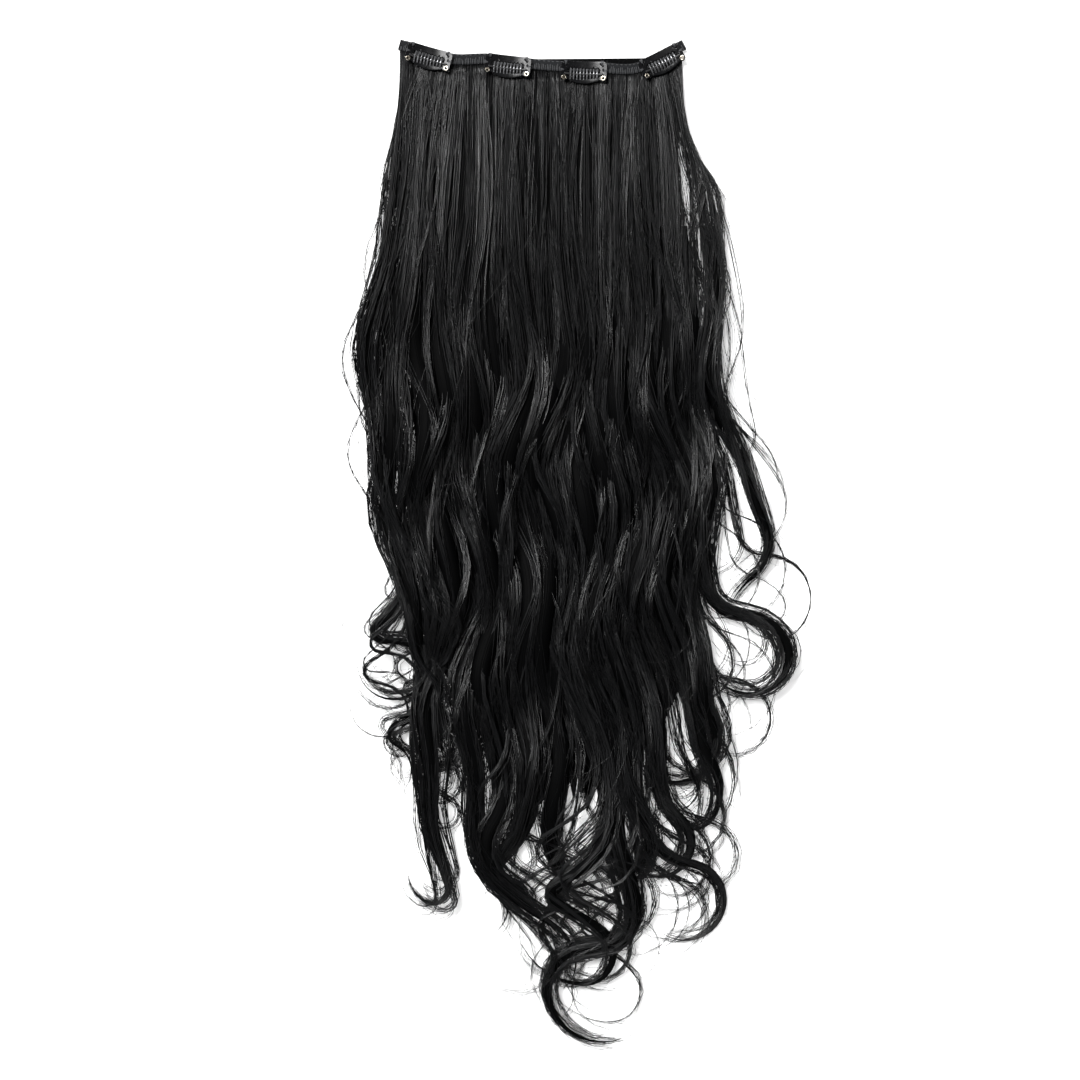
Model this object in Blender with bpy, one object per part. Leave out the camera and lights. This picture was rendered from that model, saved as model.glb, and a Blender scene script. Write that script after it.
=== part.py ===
# A curly clip-in hair weft with four snap combs, lying on a flat surface, in metres.
# The middle of the band's underside is the origin, X runs along the band, the hair falls to -Y.
import math

import bmesh
import bpy
import numpy as np

for stale in list(bpy.data.objects):
    bpy.data.objects.remove(stale, do_unlink=True)

MM = 0.001
GAP = 0.3 * MM

# the weft
WEFT_WIDTH = 200 * MM
WEFT_HALF = WEFT_WIDTH / 2
BAND_HEIGHT = 7.2 * MM
BAND_THICKNESS = 4.0 * MM
BAND_CHAMFER = 0.9 * MM
BAND_RISE = 14.0 * MM
SEAM_GAP = 0.7 * MM

# the hair
HAIR_DROP = 678 * MM
SEAM_DROP = 4.8 * MM
CURL = 25 * MM
LOCK_WIDTH = 21 * MM
LOCK_THICKNESS = 15 * MM
BACKING_THICKNESS = 13 * MM
BACKING_FLUTE = 1.4 * MM
ROOT_FADE = 0.12
LOCK_LIFT = 15 * MM
WAVE_LENGTH = 150 * MM
WAVE_HEIGHT = 8 * MM
LOCK_STEP = 72 * MM

# the clips
CLIP_WIDTH = 32 * MM
CLIP_HALF = CLIP_WIDTH / 2
SHEET = 0.5 * MM
BOW_RADIUS = 45 * MM
BOW_FLAT = 2.0 * MM
BAR_TOP = 7.5 * MM
BAR_LOW = 2.5 * MM
SCALLOP = 0.4 * MM
LEG_WIDTH = 4.6 * MM
LEG_END = 6.5 * MM
CORNER = 3.2 * MM
SLOT_LENGTH = 3.4 * MM
SLOT_WIDTH = 1.0 * MM
SLOT_INSET = 3.6 * MM
SLOT_UP = 4.9 * MM
SEWING_UP = 1.0 * MM
SEWING_HOLE = 0.6 * MM
RIVET_INSET = 2.1 * MM
RIVET_OUT = CLIP_HALF - RIVET_INSET
RIVET_DOWN = 4.2 * MM
SHANK = 0.7 * MM
RIVET_BORE = 0.4 * MM
FLANGE = 1.55 * MM
FLANGE_THICKNESS = 0.4 * MM
TEETH = 9
TOOTH_PITCH = 2.3 * MM
TOOTH_WIDTH = 1.0 * MM
SCALLOP_HALF = 0.75 * MM
COMB_LOW = 8.0 * MM
COMB_UP = 5.2 * MM
COMB_SWEEP = 2.6 * MM
COMB_TAPER = 2.0 * MM
COMB_GAP = 0.4 * MM
ARCH_HEIGHT = 2.95 * MM
ARCH_REACH = 2.2 * MM
TUBE_RADIUS = 0.75 * MM
TUBE_DOWN = 1.6 * MM
TUBE_INSET = 2.5 * MM
TUBE_HALF = CLIP_HALF - TUBE_INSET
EDGE_SETBACK = 0.1 * MM
BAND_SEAT = BAR_TOP - BAND_HEIGHT / 2 + EDGE_SETBACK

# clip number, place along the band and rise of the band there as shares of WEFT_HALF and
# BAND_RISE, tilt in degrees
CLIPS = (
    (1, -0.774, 0.582, -15.6),
    (2, -0.228, 0.171, -6.6),
    (3, 0.300, -0.121, -2.1),
    (4, 0.825, 0.361, 27.0),
)
# the band's two ends: place, rise, tilt
BAND_ENDS = ((-0.99, 0.99, -15.6), (1.00, 0.99, 27.0))

# the backing down the fall: drop as a share of HAIR_DROP, left and right edges as shares of
# WEFT_HALF, thickness as a share of BACKING_THICKNESS
BACKING = (
    (0.000, -0.98, 0.98, 0.17),
    (0.018, -0.98, 0.98, 0.18),
    (0.045, -0.97, 1.01, 0.50),
    (0.100, -0.95, 0.98, 0.75),
    (0.200, -0.97, 0.97, 0.92),
    (0.300, -0.95, 1.04, 1.00),
    (0.400, -0.90, 1.10, 1.00),
    (0.500, -0.86, 1.12, 1.00),
    (0.600, -0.83, 1.11, 0.94),
    (0.680, -0.72, 1.04, 0.82),
    (0.750, -0.54, 0.84, 0.62),
    (0.800, -0.34, 0.58, 0.36),
)

# locks: name, root and five sways down the reach as shares of WEFT_HALF, reach as a share of
# HAIR_DROP, width and lift as shares of LOCK_WIDTH and LOCK_LIFT, then the curl as bends of
# (turn in degrees, to the right positive, and radius as a share of CURL)
LOCKS = (
    ("outer_left", -0.95, (-0.96, -1.06, -1.20, -1.18, -0.95), 0.480, 0.50, 0.50,
     ((-84, 1.9), (150, 0.25), (-6, 4.0), (-150, 0.80), (-120, 1.0))),
    ("left_ringlet", -0.86, (-0.90, -0.98, -1.10, -0.98, -0.86), 0.590, 0.66, 0.80,
     ((45, 1.2), (-115, 0.7), (-8, 5.5), (140, 0.30), (-100, 0.8))),
    ("left_inner", -0.74, (-0.80, -0.88, -0.84, -0.76, -0.80), 0.640, 0.80, 0.40,
     ((70, 1.0), (-160, 0.55), (-5, 3.0), (110, 0.5))),
    ("left_tail", -0.60, (-0.64, -0.72, -0.64, -0.72, -0.78), 0.750, 0.86, 0.60,
     ((28, 2.4), (-4, 18.0), (-130, 0.42), (-60, 0.9))),
    ("left_hook", -0.46, (-0.48, -0.54, -0.40, -0.46, -0.46), 0.770, 0.80, 0.30,
     ((58, 2.2), (6, 16.0), (-50, 1.4), (-60, 0.9))),
    ("mid_left", -0.34, (-0.34, -0.36, -0.26, -0.36, -0.26), 0.740, 0.94, 0.50,
     ((-35, 1.6), (105, 1.1), (-100, 0.7))),
    ("mid_a", -0.20, (-0.20, -0.12, -0.20, -0.06, -0.14), 0.770, 0.94, 0.70,
     ((-40, 1.4), (90, 0.8), (-90, 0.8))),
    ("centre", -0.06, (-0.04, 0.04, -0.06, 0.08, 0.06), 0.790, 1.00, 0.40,
     ((35, 1.2), (-80, 1.0), (60, 1.0))),
    ("big_ringlet", 0.10, (0.12, 0.16, 0.08, 0.24, 0.48), 0.745, 0.94, 0.90,
     ((-70, 2.1), (-2, 14.0), (124, 0.34), (-4, 20.0), (-150, 0.85), (-60, 2.0))),
    ("tip_curl", 0.24, (0.26, 0.30, 0.24, 0.44, 0.64), 0.850, 1.00, 0.60,
     ((-50, 1.3), (-50, 0.9), (-3, 8.0), (103, 1.1), (95, 1.6))),
    ("mid_right", 0.38, (0.38, 0.44, 0.44, 0.44, 0.60), 0.740, 0.94, 0.70,
     ((35, 1.6), (-100, 0.9), (-110, 0.8))),
    ("right_fan", 0.45, (0.46, 0.48, 0.52, 0.56, 0.70), 0.770, 0.70, 0.30,
     ((70, 1.6), (-125, 1.1), (-80, 1.1))),
    ("right_a", 0.56, (0.58, 0.56, 0.66, 0.68, 0.84), 0.740, 0.86, 0.80,
     ((40, 1.4), (-120, 0.9), (-60, 1.0))),
    ("right_b", 0.68, (0.72, 0.76, 0.84, 0.92, 1.10), 0.680, 0.80, 0.40,
     ((30, 1.6), (-60, 1.6), (-100, 0.7))),
    ("right_c", 0.78, (0.86, 0.90, 0.98, 1.06, 1.12), 0.640, 0.74, 0.80,
     ((35, 1.2), (-90, 1.2), (-90, 1.0))),
    ("right_loop", 0.86, (0.96, 1.02, 1.08, 1.12, 1.16), 0.530, 0.74, 0.80,
     ((80, 1.0), (-45, 1.35), (-140, 1.05), (-60, 1.4))),
    ("outer_right", 0.92, (1.11, 1.20, 1.21, 1.28, 1.56), 0.470, 0.46, 0.30,
     ((-75, 1.2), (30, 2.0))),
)

# a tooth's middle line over the tube: place as a share of the way from the tube's middle line to
# the tip (minus is towards the bar), height as a share of ARCH_HEIGHT
TOOTH_ARCH = ((-0.71, 0.41), (-0.39, 0.83), (0.0, 1.0), (0.45, 0.86), (1.0, 0.42))


def material(name, colour, roughness, metallic=0.0, coat=0.0):
    made = bpy.data.materials.new(name)
    made.use_nodes = True
    shader = made.node_tree.nodes["Principled BSDF"]
    shader.inputs["Base Color"].default_value = (*colour, 1.0)
    shader.inputs["Roughness"].default_value = roughness
    shader.inputs["Metallic"].default_value = metallic
    shader.inputs["Coat Weight"].default_value = coat
    made.diffuse_color = (*colour, 1.0)
    return made


BAND_FABRIC = material("band_fabric", (0.012, 0.013, 0.015), 0.8)
HAIR = material("hair_fibre", (0.016, 0.017, 0.020), 0.42)
ENAMEL = material("black_enamel", (0.010, 0.010, 0.012), 0.22, 0.3, 0.6)
SILICONE = material("black_silicone", (0.015, 0.015, 0.016), 0.5)
RIVET_METAL = material("rivet_metal", (0.55, 0.50, 0.42), 0.28, 1.0)


def round_off(mesh):
    """Shade smooth but keep the edges of more than 50 degrees."""
    mesh.polygons.foreach_set("use_smooth", [True] * len(mesh.polygons))
    mesh.set_sharp_from_angle(angle=math.radians(50))


def add_object(name, bm, paint, smooth=False):
    """Close the bmesh into a named object with its faces turned outward."""
    bmesh.ops.remove_doubles(bm, verts=bm.verts, dist=1e-7)
    bmesh.ops.recalc_face_normals(bm, faces=bm.faces)
    if bm.calc_volume(signed=True) < 0:
        bmesh.ops.reverse_faces(bm, faces=bm.faces)
    mesh = bpy.data.meshes.new(name)
    bm.to_mesh(mesh)
    bm.free()
    mesh.materials.append(paint)
    if smooth:
        round_off(mesh)
    made = bpy.data.objects.new(name, mesh)
    bpy.context.scene.collection.objects.link(made)
    return made


def loft(bm, rings):
    """Join closed rings of points with quads and close the two ends."""
    rows = [[bm.verts.new(point) for point in ring] for ring in rings]
    count = len(rows[0])
    for near, far in zip(rows, rows[1:]):
        for k in range(count):
            m = (k + 1) % count
            bm.faces.new((near[k], near[m], far[m], far[k]))
    bm.faces.new(rows[0])
    bm.faces.new(rows[-1])


def hermite(knots, directions, per_piece):
    """Points of a cubic curve through the knots with the given unit directions."""
    points = [knots[0]]
    for a, b, da, db in zip(knots, knots[1:], directions, directions[1:]):
        reach = float(np.linalg.norm(b - a))
        for step in range(1, per_piece + 1):
            t = step / per_piece
            points.append(
                (2 * t**3 - 3 * t**2 + 1) * a
                + (t**3 - 2 * t**2 + t) * reach * da
                + (3 * t**2 - 2 * t**3) * b
                + (t**3 - t**2) * reach * db
            )
    return np.array(points)


def unit(degrees):
    return np.array((math.cos(math.radians(degrees)), math.sin(math.radians(degrees))))


def band_line():
    """The band's middle line: straight under each stiff clip, soft between them."""
    (left, left_rise, left_tilt), (right, right_rise, right_tilt) = BAND_ENDS
    knots = [np.array((left * WEFT_HALF, left_rise * BAND_RISE))]
    directions = [unit(left_tilt)]
    for _, along, rise, tilt in CLIPS:
        middle = np.array((along * WEFT_HALF, rise * BAND_RISE))
        for side in (-1, 1):
            knots.append(middle + side * 0.4 * CLIP_WIDTH * unit(tilt))
            directions.append(unit(tilt))
    knots.append(np.array((right * WEFT_HALF, right_rise * BAND_RISE)))
    directions.append(unit(right_tilt))
    return hermite(knots, directions, 3)


def across(points):
    """Unit vectors square to a line in the plane, turned to the left of its run."""
    run = np.gradient(points, axis=0)
    run /= np.linalg.norm(run, axis=1)[:, None]
    return np.stack((-run[:, 1], run[:, 0]), axis=1)


BAND = band_line()
BAND_ACROSS = across(BAND)
SEAM = BAND - (BAND_HEIGHT / 2 + SEAM_GAP) * BAND_ACROSS


def seam_height(x):
    """Y of the line where the hair leaves the band, at X."""
    return np.interp(x, SEAM[:, 0], SEAM[:, 1])


def fall_line(x, drop):
    """Y at a drop: follows the band near it and runs level further down."""
    fade = np.clip(1 - drop / ROOT_FADE, 0, 1) ** 2
    return (seam_height(x) + SEAM_DROP) * fade - SEAM_DROP - drop * HAIR_DROP


def build_band():
    bm = bmesh.new()
    half = BAND_HEIGHT / 2
    c = BAND_CHAMFER
    top = BAND_THICKNESS
    profile = (
        (-half + c, 0), (half - c, 0), (half, c), (half, top - c),
        (half - c, top), (-half + c, top), (-half, top - c), (-half, c),
    )
    rings = []
    for point, side in zip(BAND, BAND_ACROSS):
        rings.append([(*(point + a * side), z) for a, z in profile])
    loft(bm, rings)
    return add_object("weft_band", bm, BAND_FABRIC)


def lock_path(lock):
    """Plan line of a lock: sways and waves down its reach, then bends that follow on."""
    name, root, sways, reach, width, lift, bends = lock
    stations = np.linspace(0, reach, len(sways) + 1)
    places = np.array((root, *sways)) * WEFT_HALF
    slopes = np.gradient(places, stations)
    drops = np.linspace(0.035, reach, 90)
    k = np.clip(np.searchsorted(stations, drops, side="right") - 1, 0, len(stations) - 2)
    step = stations[k + 1] - stations[k]
    t = (drops - stations[k]) / step
    x = (
        (2 * t**3 - 3 * t**2 + 1) * places[k]
        + (t**3 - 2 * t**2 + t) * step * slopes[k]
        + (3 * t**2 - 2 * t**3) * places[k + 1]
        + (t**3 - t**2) * step * slopes[k + 1]
    )
    swing = np.clip((drops - 0.18) / 0.22, 0, 1) * np.clip((reach - drops) / 0.10, 0, 1)
    x = x + WAVE_HEIGHT * swing * np.sin(2 * math.pi * drops * HAIR_DROP / WAVE_LENGTH + 2.6 * root)
    pieces = [np.stack((x, fall_line(x, drops)), axis=1)]
    ahead = pieces[0][-1] - pieces[0][-2]
    heading = math.atan2(ahead[0], -ahead[1])
    here = pieces[0][-1]
    for turn, share in bends:
        side = 1 if turn > 0 else -1
        radius = share * CURL
        centre = here + side * radius * np.array((math.cos(heading), math.sin(heading)))
        angles = heading + np.radians(np.linspace(0, turn, max(3, int(abs(turn) / 6)) + 1))[1:]
        arc = centre - side * radius * np.stack((np.cos(angles), np.sin(angles)), axis=1)
        pieces.append(arc)
        heading = angles[-1]
        here = arc[-1]
    return np.concatenate(pieces)


def resample(line, length, bend):
    """Points of a line, nearer together where it bends: one for each length or bend."""
    steps = np.diff(line, axis=0)
    lengths = np.linalg.norm(steps, axis=1)
    headings = np.unwrap(np.arctan2(steps[:, 1], steps[:, 0]))
    turns = np.abs(np.gradient(headings))
    cost = np.concatenate(((0,), np.cumsum(lengths / length + turns / math.radians(bend))))
    count = int(math.ceil(cost[-1])) + 1
    wanted = np.linspace(0, cost[-1], count)
    run = np.concatenate(((0,), np.cumsum(lengths)))
    return (
        np.stack([np.interp(wanted, cost, line[:, k]) for k in (0, 1)], axis=1),
        np.interp(wanted, cost, run) / run[-1],
    )


def bend_radius(line):
    """Radius of the bend at each point of a plan line, so that a lock narrows in tight turns."""
    steps = np.diff(line, axis=0)
    headings = np.unwrap(np.arctan2(steps[:, 1], steps[:, 0]))
    lengths = np.linalg.norm(steps, axis=1)
    turns = np.abs(np.diff(headings))
    radius = (lengths[1:] + lengths[:-1]) / 2 / np.maximum(turns, 1e-6)
    return np.concatenate((radius[:1], radius, radius[-1:]))


def build_lock(lock):
    name, root, sways, reach, width, lift, bends = lock
    line, share = resample(lock_path(lock), LOCK_STEP, 46)
    side = across(line)
    wide = LOCK_WIDTH * width * np.interp(share, (0, 0.1, 0.6, 0.85, 1), (0.7, 1, 1, 0.72, 0.28))
    wide = np.minimum(wide, 1.6 * bend_radius(line))
    thick = LOCK_THICKNESS * np.interp(share, (0, 0.12, 0.3, 0.7, 1), (0.28, 0.6, 1, 0.85, 0.35))
    thick = thick * (0.55 + 0.45 * width)
    rise = LOCK_LIFT * lift * np.interp(share, (0, 0.2, 0.5, 0.8, 1), (0, 0.2, 0.3, 0.75, 0.3))
    bm = bmesh.new()
    rings = []
    for k in range(len(line)):
        ring = []
        for angle in np.radians((0, 55, 125, 180, 235, 305)):
            spot = line[k] + side[k] * wide[k] / 2 * math.cos(angle)
            height = thick[k] / 2 * (1.02 + math.sin(angle)) + rise[k]
            ring.append((*spot, height))
        rings.append(ring)
    loft(bm, rings)
    return add_object("lock_" + name, bm, HAIR)


def build_backing():
    """The body of the hair that the locks are fused to, fluted below."""
    bm = bmesh.new()
    spread = np.linspace(-1, 1, 17)
    rows_top = []
    rows_low = []
    for drop, left, right, thick in BACKING:
        x = ((left + right) / 2 + (right - left) / 2 * spread) * WEFT_HALF
        y = fall_line(x, drop - 0.10 * drop**4 * spread**2)
        arch = 0.5 + 0.5 * np.sqrt(1 - spread**2)
        if drop < 0.03:
            arch = np.ones_like(spread)
        z = BACKING_THICKNESS * thick * arch
        flute = BACKING_FLUTE * np.interp(drop, (0.02, 0.1, 0.68, 0.76), (0, 1, 1, 0))
        flute = flute * (np.arange(len(spread)) % 2)
        rows_top.append([bm.verts.new(p) for p in zip(x, y, z)])
        rows_low.append([bm.verts.new(p) for p in zip(x, y, flute)])
    count = len(spread)
    last = len(BACKING) - 1
    for r in range(last):
        for k in range(count - 1):
            for rows in (rows_top, rows_low):
                bm.faces.new((rows[r][k], rows[r][k + 1], rows[r + 1][k + 1], rows[r + 1][k]))
        for k in (0, count - 1):
            bm.faces.new((rows_top[r][k], rows_top[r + 1][k], rows_low[r + 1][k], rows_low[r][k]))
    for r in (0, last):
        for k in range(count - 1):
            bm.faces.new((rows_top[r][k], rows_top[r][k + 1], rows_low[r][k + 1], rows_low[r][k]))
    return add_object("hair_fall", bm, HAIR)


def volume_of(mesh):
    """The mesh's volume, or nothing where an edge is open or has more than two faces."""
    bm = bmesh.new()
    bm.from_mesh(mesh)
    closed = all(len(edge.link_faces) == 2 for edge in bm.edges)
    volume = bm.calc_volume() if closed else 0.0
    bm.free()
    return volume


def union(body, other, solver):
    modifier = body.modifiers.new("fuse", "BOOLEAN")
    modifier.operation = "UNION"
    modifier.solver = solver
    if solver == "EXACT":
        modifier.use_self = True
    modifier.object = other
    graph = bpy.context.evaluated_depsgraph_get()
    joined = bpy.data.meshes.new_from_object(body.evaluated_get(graph))
    body.modifiers.clear()
    return joined


def fuse(body, others):
    """Union the others into the body one by one and remove them.

    The second solver is used where the first leaves an open edge or loses volume.
    """
    for other in others:
        other.hide_render = True
        other.display_type = "WIRE"
        least = volume_of(body.data)
        for solver in ("EXACT", "MANIFOLD"):
            joined = union(body, other, solver)
            if volume_of(joined) > least:
                break
            if solver == "EXACT":
                bpy.data.meshes.remove(joined)
        spent = body.data
        body.data = joined
        bpy.data.meshes.remove(spent)
        bpy.data.objects.remove(other, do_unlink=True)
    return body


def keep_main_shell(mesh):
    """Drop the small closed pockets that crossing locks leave inside the hair."""
    bm = bmesh.new()
    bm.from_mesh(mesh)
    shells = []
    left = set(bm.verts)
    while left:
        shell = set()
        front = [left.pop()]
        while front:
            vert = front.pop()
            shell.add(vert)
            for edge in vert.link_edges:
                other = edge.other_vert(vert)
                if other in left:
                    left.discard(other)
                    front.append(other)
        shells.append(shell)
    shells.sort(key=len)
    for shell in shells[:-1]:
        bmesh.ops.delete(bm, geom=list(shell), context="VERTS")
    bm.to_mesh(mesh)
    bm.free()


def build_hair():
    body = build_backing()
    fuse(body, [build_lock(lock) for lock in LOCKS])
    keep_main_shell(body.data)
    round_off(body.data)
    return body


def bow(u):
    """Height of the bowed sheet at u: the middle lies flat on the band and the ends rise."""
    return max(0.0, abs(u) - BOW_FLAT) ** 2 / (2 * BOW_RADIUS)


def circle(u, v, radius, count):
    turn = 2 * math.pi / count
    return [
        (u + radius * math.cos((k + 0.5) * turn), v + radius * math.sin((k + 0.5) * turn))
        for k in range(count)
    ]


def slot(u, v, length, width, degrees):
    """A slot with rounded ends, turned by some degrees."""
    run = unit(degrees)
    side = np.array((-run[1], run[0]))
    half = (length - width) / 2
    points = []
    for end in (1, -1):
        for angle in (-90, -30, 30, 90):
            a = math.radians(angle)
            spot = end * (half + width / 2 * math.cos(a)) * run + end * width / 2 * math.sin(a) * side
            points.append((u + spot[0], v + spot[1]))
    return points


def frame_outline():
    """The frame seen from above: a top bar with scallops and two legs with rounded ends."""
    inner = CLIP_HALF - LEG_WIDTH
    middle = CLIP_HALF - LEG_WIDTH / 2
    half = []
    for angle in (90, 60, 30, 0):
        a = math.radians(angle)
        half.append((
            CLIP_HALF - CORNER + CORNER * math.cos(a),
            BAR_TOP - CORNER + CORNER * math.sin(a),
        ))
    for angle in (0, -40, -90, -140, -180):
        a = math.radians(angle)
        half.append((
            middle + LEG_WIDTH / 2 * math.cos(a),
            -LEG_END + LEG_WIDTH / 2 + LEG_WIDTH / 2 * math.sin(a),
        ))
    half.append((inner, BAR_LOW - 0.5 * CORNER))
    half.append((inner - 0.15 * CORNER, BAR_LOW - 0.15 * CORNER))
    edge = []
    first = (TEETH - 1) / 2 * TOOTH_PITCH
    for k in range(TEETH):
        u = first - k * TOOTH_PITCH
        edge.append((u + SCALLOP_HALF, BAR_LOW))
        edge.append((u, BAR_LOW + SCALLOP))
        edge.append((u - SCALLOP_HALF, BAR_LOW))
    mirrored = [(-u, v) for u, v in reversed(half)]
    return half + edge + mirrored


def build_frame(name):
    bm = bmesh.new()
    loops = [frame_outline()]
    for side in (-1, 1):
        loops.append(slot(side * (CLIP_HALF - SLOT_INSET), SLOT_UP, SLOT_LENGTH, SLOT_WIDTH, side * -45))
        loops.append(circle(side * (CLIP_HALF - LEG_WIDTH / 2), SEWING_UP, SEWING_HOLE, 6))
        loops.append(circle(side * RIVET_OUT, -RIVET_DOWN, SHANK + GAP, 8))
    edges = []
    for points in loops:
        verts = [bm.verts.new((u, v, 0)) for u, v in points]
        for k in range(len(verts)):
            edges.append(bm.edges.new((verts[k], verts[(k + 1) % len(verts)])))
    bmesh.ops.triangle_fill(bm, use_beauty=True, use_dissolve=False, edges=edges)
    wide = 0.31 * CLIP_WIDTH
    for u in (-wide, -0.6 * wide, -BOW_FLAT, BOW_FLAT, 0.6 * wide, wide):
        everything = bm.verts[:] + bm.edges[:] + bm.faces[:]
        bmesh.ops.bisect_plane(
            bm, geom=everything, dist=1e-7, plane_co=(u, 0, 0), plane_no=(1, 0, 0)
        )
    made = bmesh.ops.extrude_face_region(bm, geom=bm.faces[:])
    lifted = [item for item in made["geom"] if isinstance(item, bmesh.types.BMVert)]
    bmesh.ops.translate(bm, verts=lifted, vec=(0, 0, SHEET))
    for vert in bm.verts:
        vert.co.z += bow(vert.co.x)
    return add_object(name, bm, ENAMEL)


def comb_edges(u):
    """Lower and upper edge of the comb's bar at u, before the bow."""
    share = (u / comb_half()) ** 2
    return -COMB_LOW + COMB_SWEEP * share, -COMB_UP + COMB_TAPER * share


def comb_half():
    return CLIP_HALF - LEG_WIDTH - COMB_GAP


def comb_rise(u):
    return SHEET * (u / comb_half()) ** 2


def build_comb(name):
    """The comb: a bar between the legs and teeth that arch over the tube."""
    bm = bmesh.new()
    first = -(TEETH - 1) / 2 * TOOTH_PITCH
    columns = [-comb_half()]
    for k in range(TEETH):
        for side in (-1, 1):
            columns.append(first + k * TOOTH_PITCH + side * TOOTH_WIDTH / 2)
    columns.append(comb_half())
    origin_w = hinge_height()
    origin_v = -RIVET_DOWN

    def place(u, v, w):
        return bm.verts.new((u, v - origin_v, w + bow(u) + comb_rise(u) - origin_w))

    quads = []
    for u in columns:
        low, up = comb_edges(u)
        quads.append((place(u, low, 0), place(u, up, 0), place(u, up, SHEET), place(u, low, SHEET)))
    for k, (a, b) in enumerate(zip(quads, quads[1:])):
        bm.faces.new((a[0], a[1], b[1], b[0]))
        bm.faces.new((a[2], a[3], b[3], b[2]))
        bm.faces.new((a[3], a[0], b[0], b[3]))
        if k % 2 == 0:
            bm.faces.new((a[1], a[2], b[2], b[1]))
            continue
        ring = (a[1], a[2], b[2], b[1])
        line = [(comb_edges(columns[k])[1], SHEET / 2)]
        line += [(-TUBE_DOWN + v * (TUBE_DOWN + ARCH_REACH), w * ARCH_HEIGHT) for v, w in TOOTH_ARCH]
        for n in range(1, len(line)):
            before = np.array(line[n - 1])
            after = np.array(line[min(n + 1, len(line) - 1)])
            run = (after - before) / np.linalg.norm(after - before)
            off = np.array((-run[1], run[0])) * SHEET / 2
            spot = np.array(line[n])
            slim = 0.8 if n == len(line) - 1 else 1.0
            middle = (columns[k] + columns[k + 1]) / 2
            left = middle - slim * TOOTH_WIDTH / 2
            right = middle + slim * TOOTH_WIDTH / 2
            low, up = spot - off, spot + off
            fresh = (place(left, *low), place(left, *up), place(right, *up), place(right, *low))
            for m in range(4):
                n2 = (m + 1) % 4
                bm.faces.new((ring[m], ring[n2], fresh[n2], fresh[m]))
            ring = fresh
        bm.faces.new(ring)
    bm.faces.new(quads[0])
    bm.faces.new(quads[-1])
    return add_object(name, bm, ENAMEL)


def hinge_height():
    """Height above the plate's middle of the line through the two rivets."""
    return bow(RIVET_OUT) + SHEET


def build_tube(name):
    bm = bmesh.new()
    height = SHEET + GAP + TUBE_RADIUS
    rings = []
    for u in np.linspace(-TUBE_HALF, TUBE_HALF, 5):
        ring = []
        for k in range(8):
            a = 2 * math.pi * (k + 0.5) / 8
            v = -TUBE_DOWN + TUBE_RADIUS * math.cos(a)
            w = height + bow(u) + TUBE_RADIUS * math.sin(a)
            ring.append((u, v, w))
        rings.append(ring)
    loft(bm, rings)
    return add_object(name, bm, SILICONE, smooth=True)


def build_rivet(name):
    """An eyelet: a bored shank with a flange above and one below the sheet."""
    low = -GAP - FLANGE_THICKNESS
    high = SHEET + GAP + FLANGE_THICKNESS
    profile = (
        (RIVET_BORE, low), (FLANGE * 0.8, low), (FLANGE * 0.8, -GAP), (SHANK, -GAP),
        (SHANK, SHEET + GAP), (FLANGE, SHEET + GAP), (FLANGE * 0.8, high), (RIVET_BORE, high),
    )
    bm = bmesh.new()
    count = 8
    rows = []
    for k in range(count):
        a = 2 * math.pi * (k + 0.5) / count
        rows.append([bm.verts.new((r * math.cos(a), r * math.sin(a), z)) for r, z in profile])
    size = len(profile)
    for k in range(count):
        near, far = rows[k], rows[(k + 1) % count]
        for m in range(size):
            n = (m + 1) % size
            bm.faces.new((near[m], near[n], far[n], far[m]))
    return add_object(name, bm, RIVET_METAL, smooth=True)


def build_clip(number, along, rise, tilt):
    """Place the pieces of one clip on the band, its middle on the band's top."""
    run = unit(tilt)
    side = np.array((-run[1], run[0]))
    spot = np.array((along * WEFT_HALF, rise * BAND_RISE)) - BAND_SEAT * side
    turn = math.radians(tilt)
    seat = BAND_THICKNESS + GAP

    def place(piece, u=0.0, v=0.0, w=0.0, lean=0.0):
        where = spot + u * run + v * side
        piece.location = (where[0], where[1], seat + w)
        piece.rotation_euler = (0, lean, turn)

    prefix = "clip_%d_" % number
    place(build_frame(prefix + "frame"))
    place(build_comb(prefix + "comb"), v=-RIVET_DOWN, w=hinge_height())
    place(build_tube(prefix + "grip_tube"))
    for name, u in (("rivet_left", -RIVET_OUT), ("rivet_right", RIVET_OUT)):
        lean = math.atan(-math.copysign(abs(u) - BOW_FLAT, u) / BOW_RADIUS)
        place(build_rivet(prefix + name), u=u, v=-RIVET_DOWN, w=bow(u), lean=lean)


build_band()
build_hair()
for row in CLIPS:
    build_clip(*row)
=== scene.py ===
import math
import bmesh
import bpy
import numpy as np
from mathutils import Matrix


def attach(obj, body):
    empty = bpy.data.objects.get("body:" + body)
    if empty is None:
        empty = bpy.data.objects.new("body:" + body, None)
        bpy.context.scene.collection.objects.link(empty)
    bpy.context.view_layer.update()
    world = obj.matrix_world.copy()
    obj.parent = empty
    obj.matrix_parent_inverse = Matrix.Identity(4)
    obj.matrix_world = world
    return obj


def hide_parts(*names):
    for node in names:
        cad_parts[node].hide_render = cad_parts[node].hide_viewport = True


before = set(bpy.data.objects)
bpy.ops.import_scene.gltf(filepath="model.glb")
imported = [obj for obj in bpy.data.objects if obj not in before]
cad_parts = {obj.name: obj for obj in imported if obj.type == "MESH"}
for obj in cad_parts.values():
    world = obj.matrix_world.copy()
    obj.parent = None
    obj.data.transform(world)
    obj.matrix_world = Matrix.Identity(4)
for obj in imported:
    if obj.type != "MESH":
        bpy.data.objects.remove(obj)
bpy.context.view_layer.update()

mm = 0.001

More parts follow.
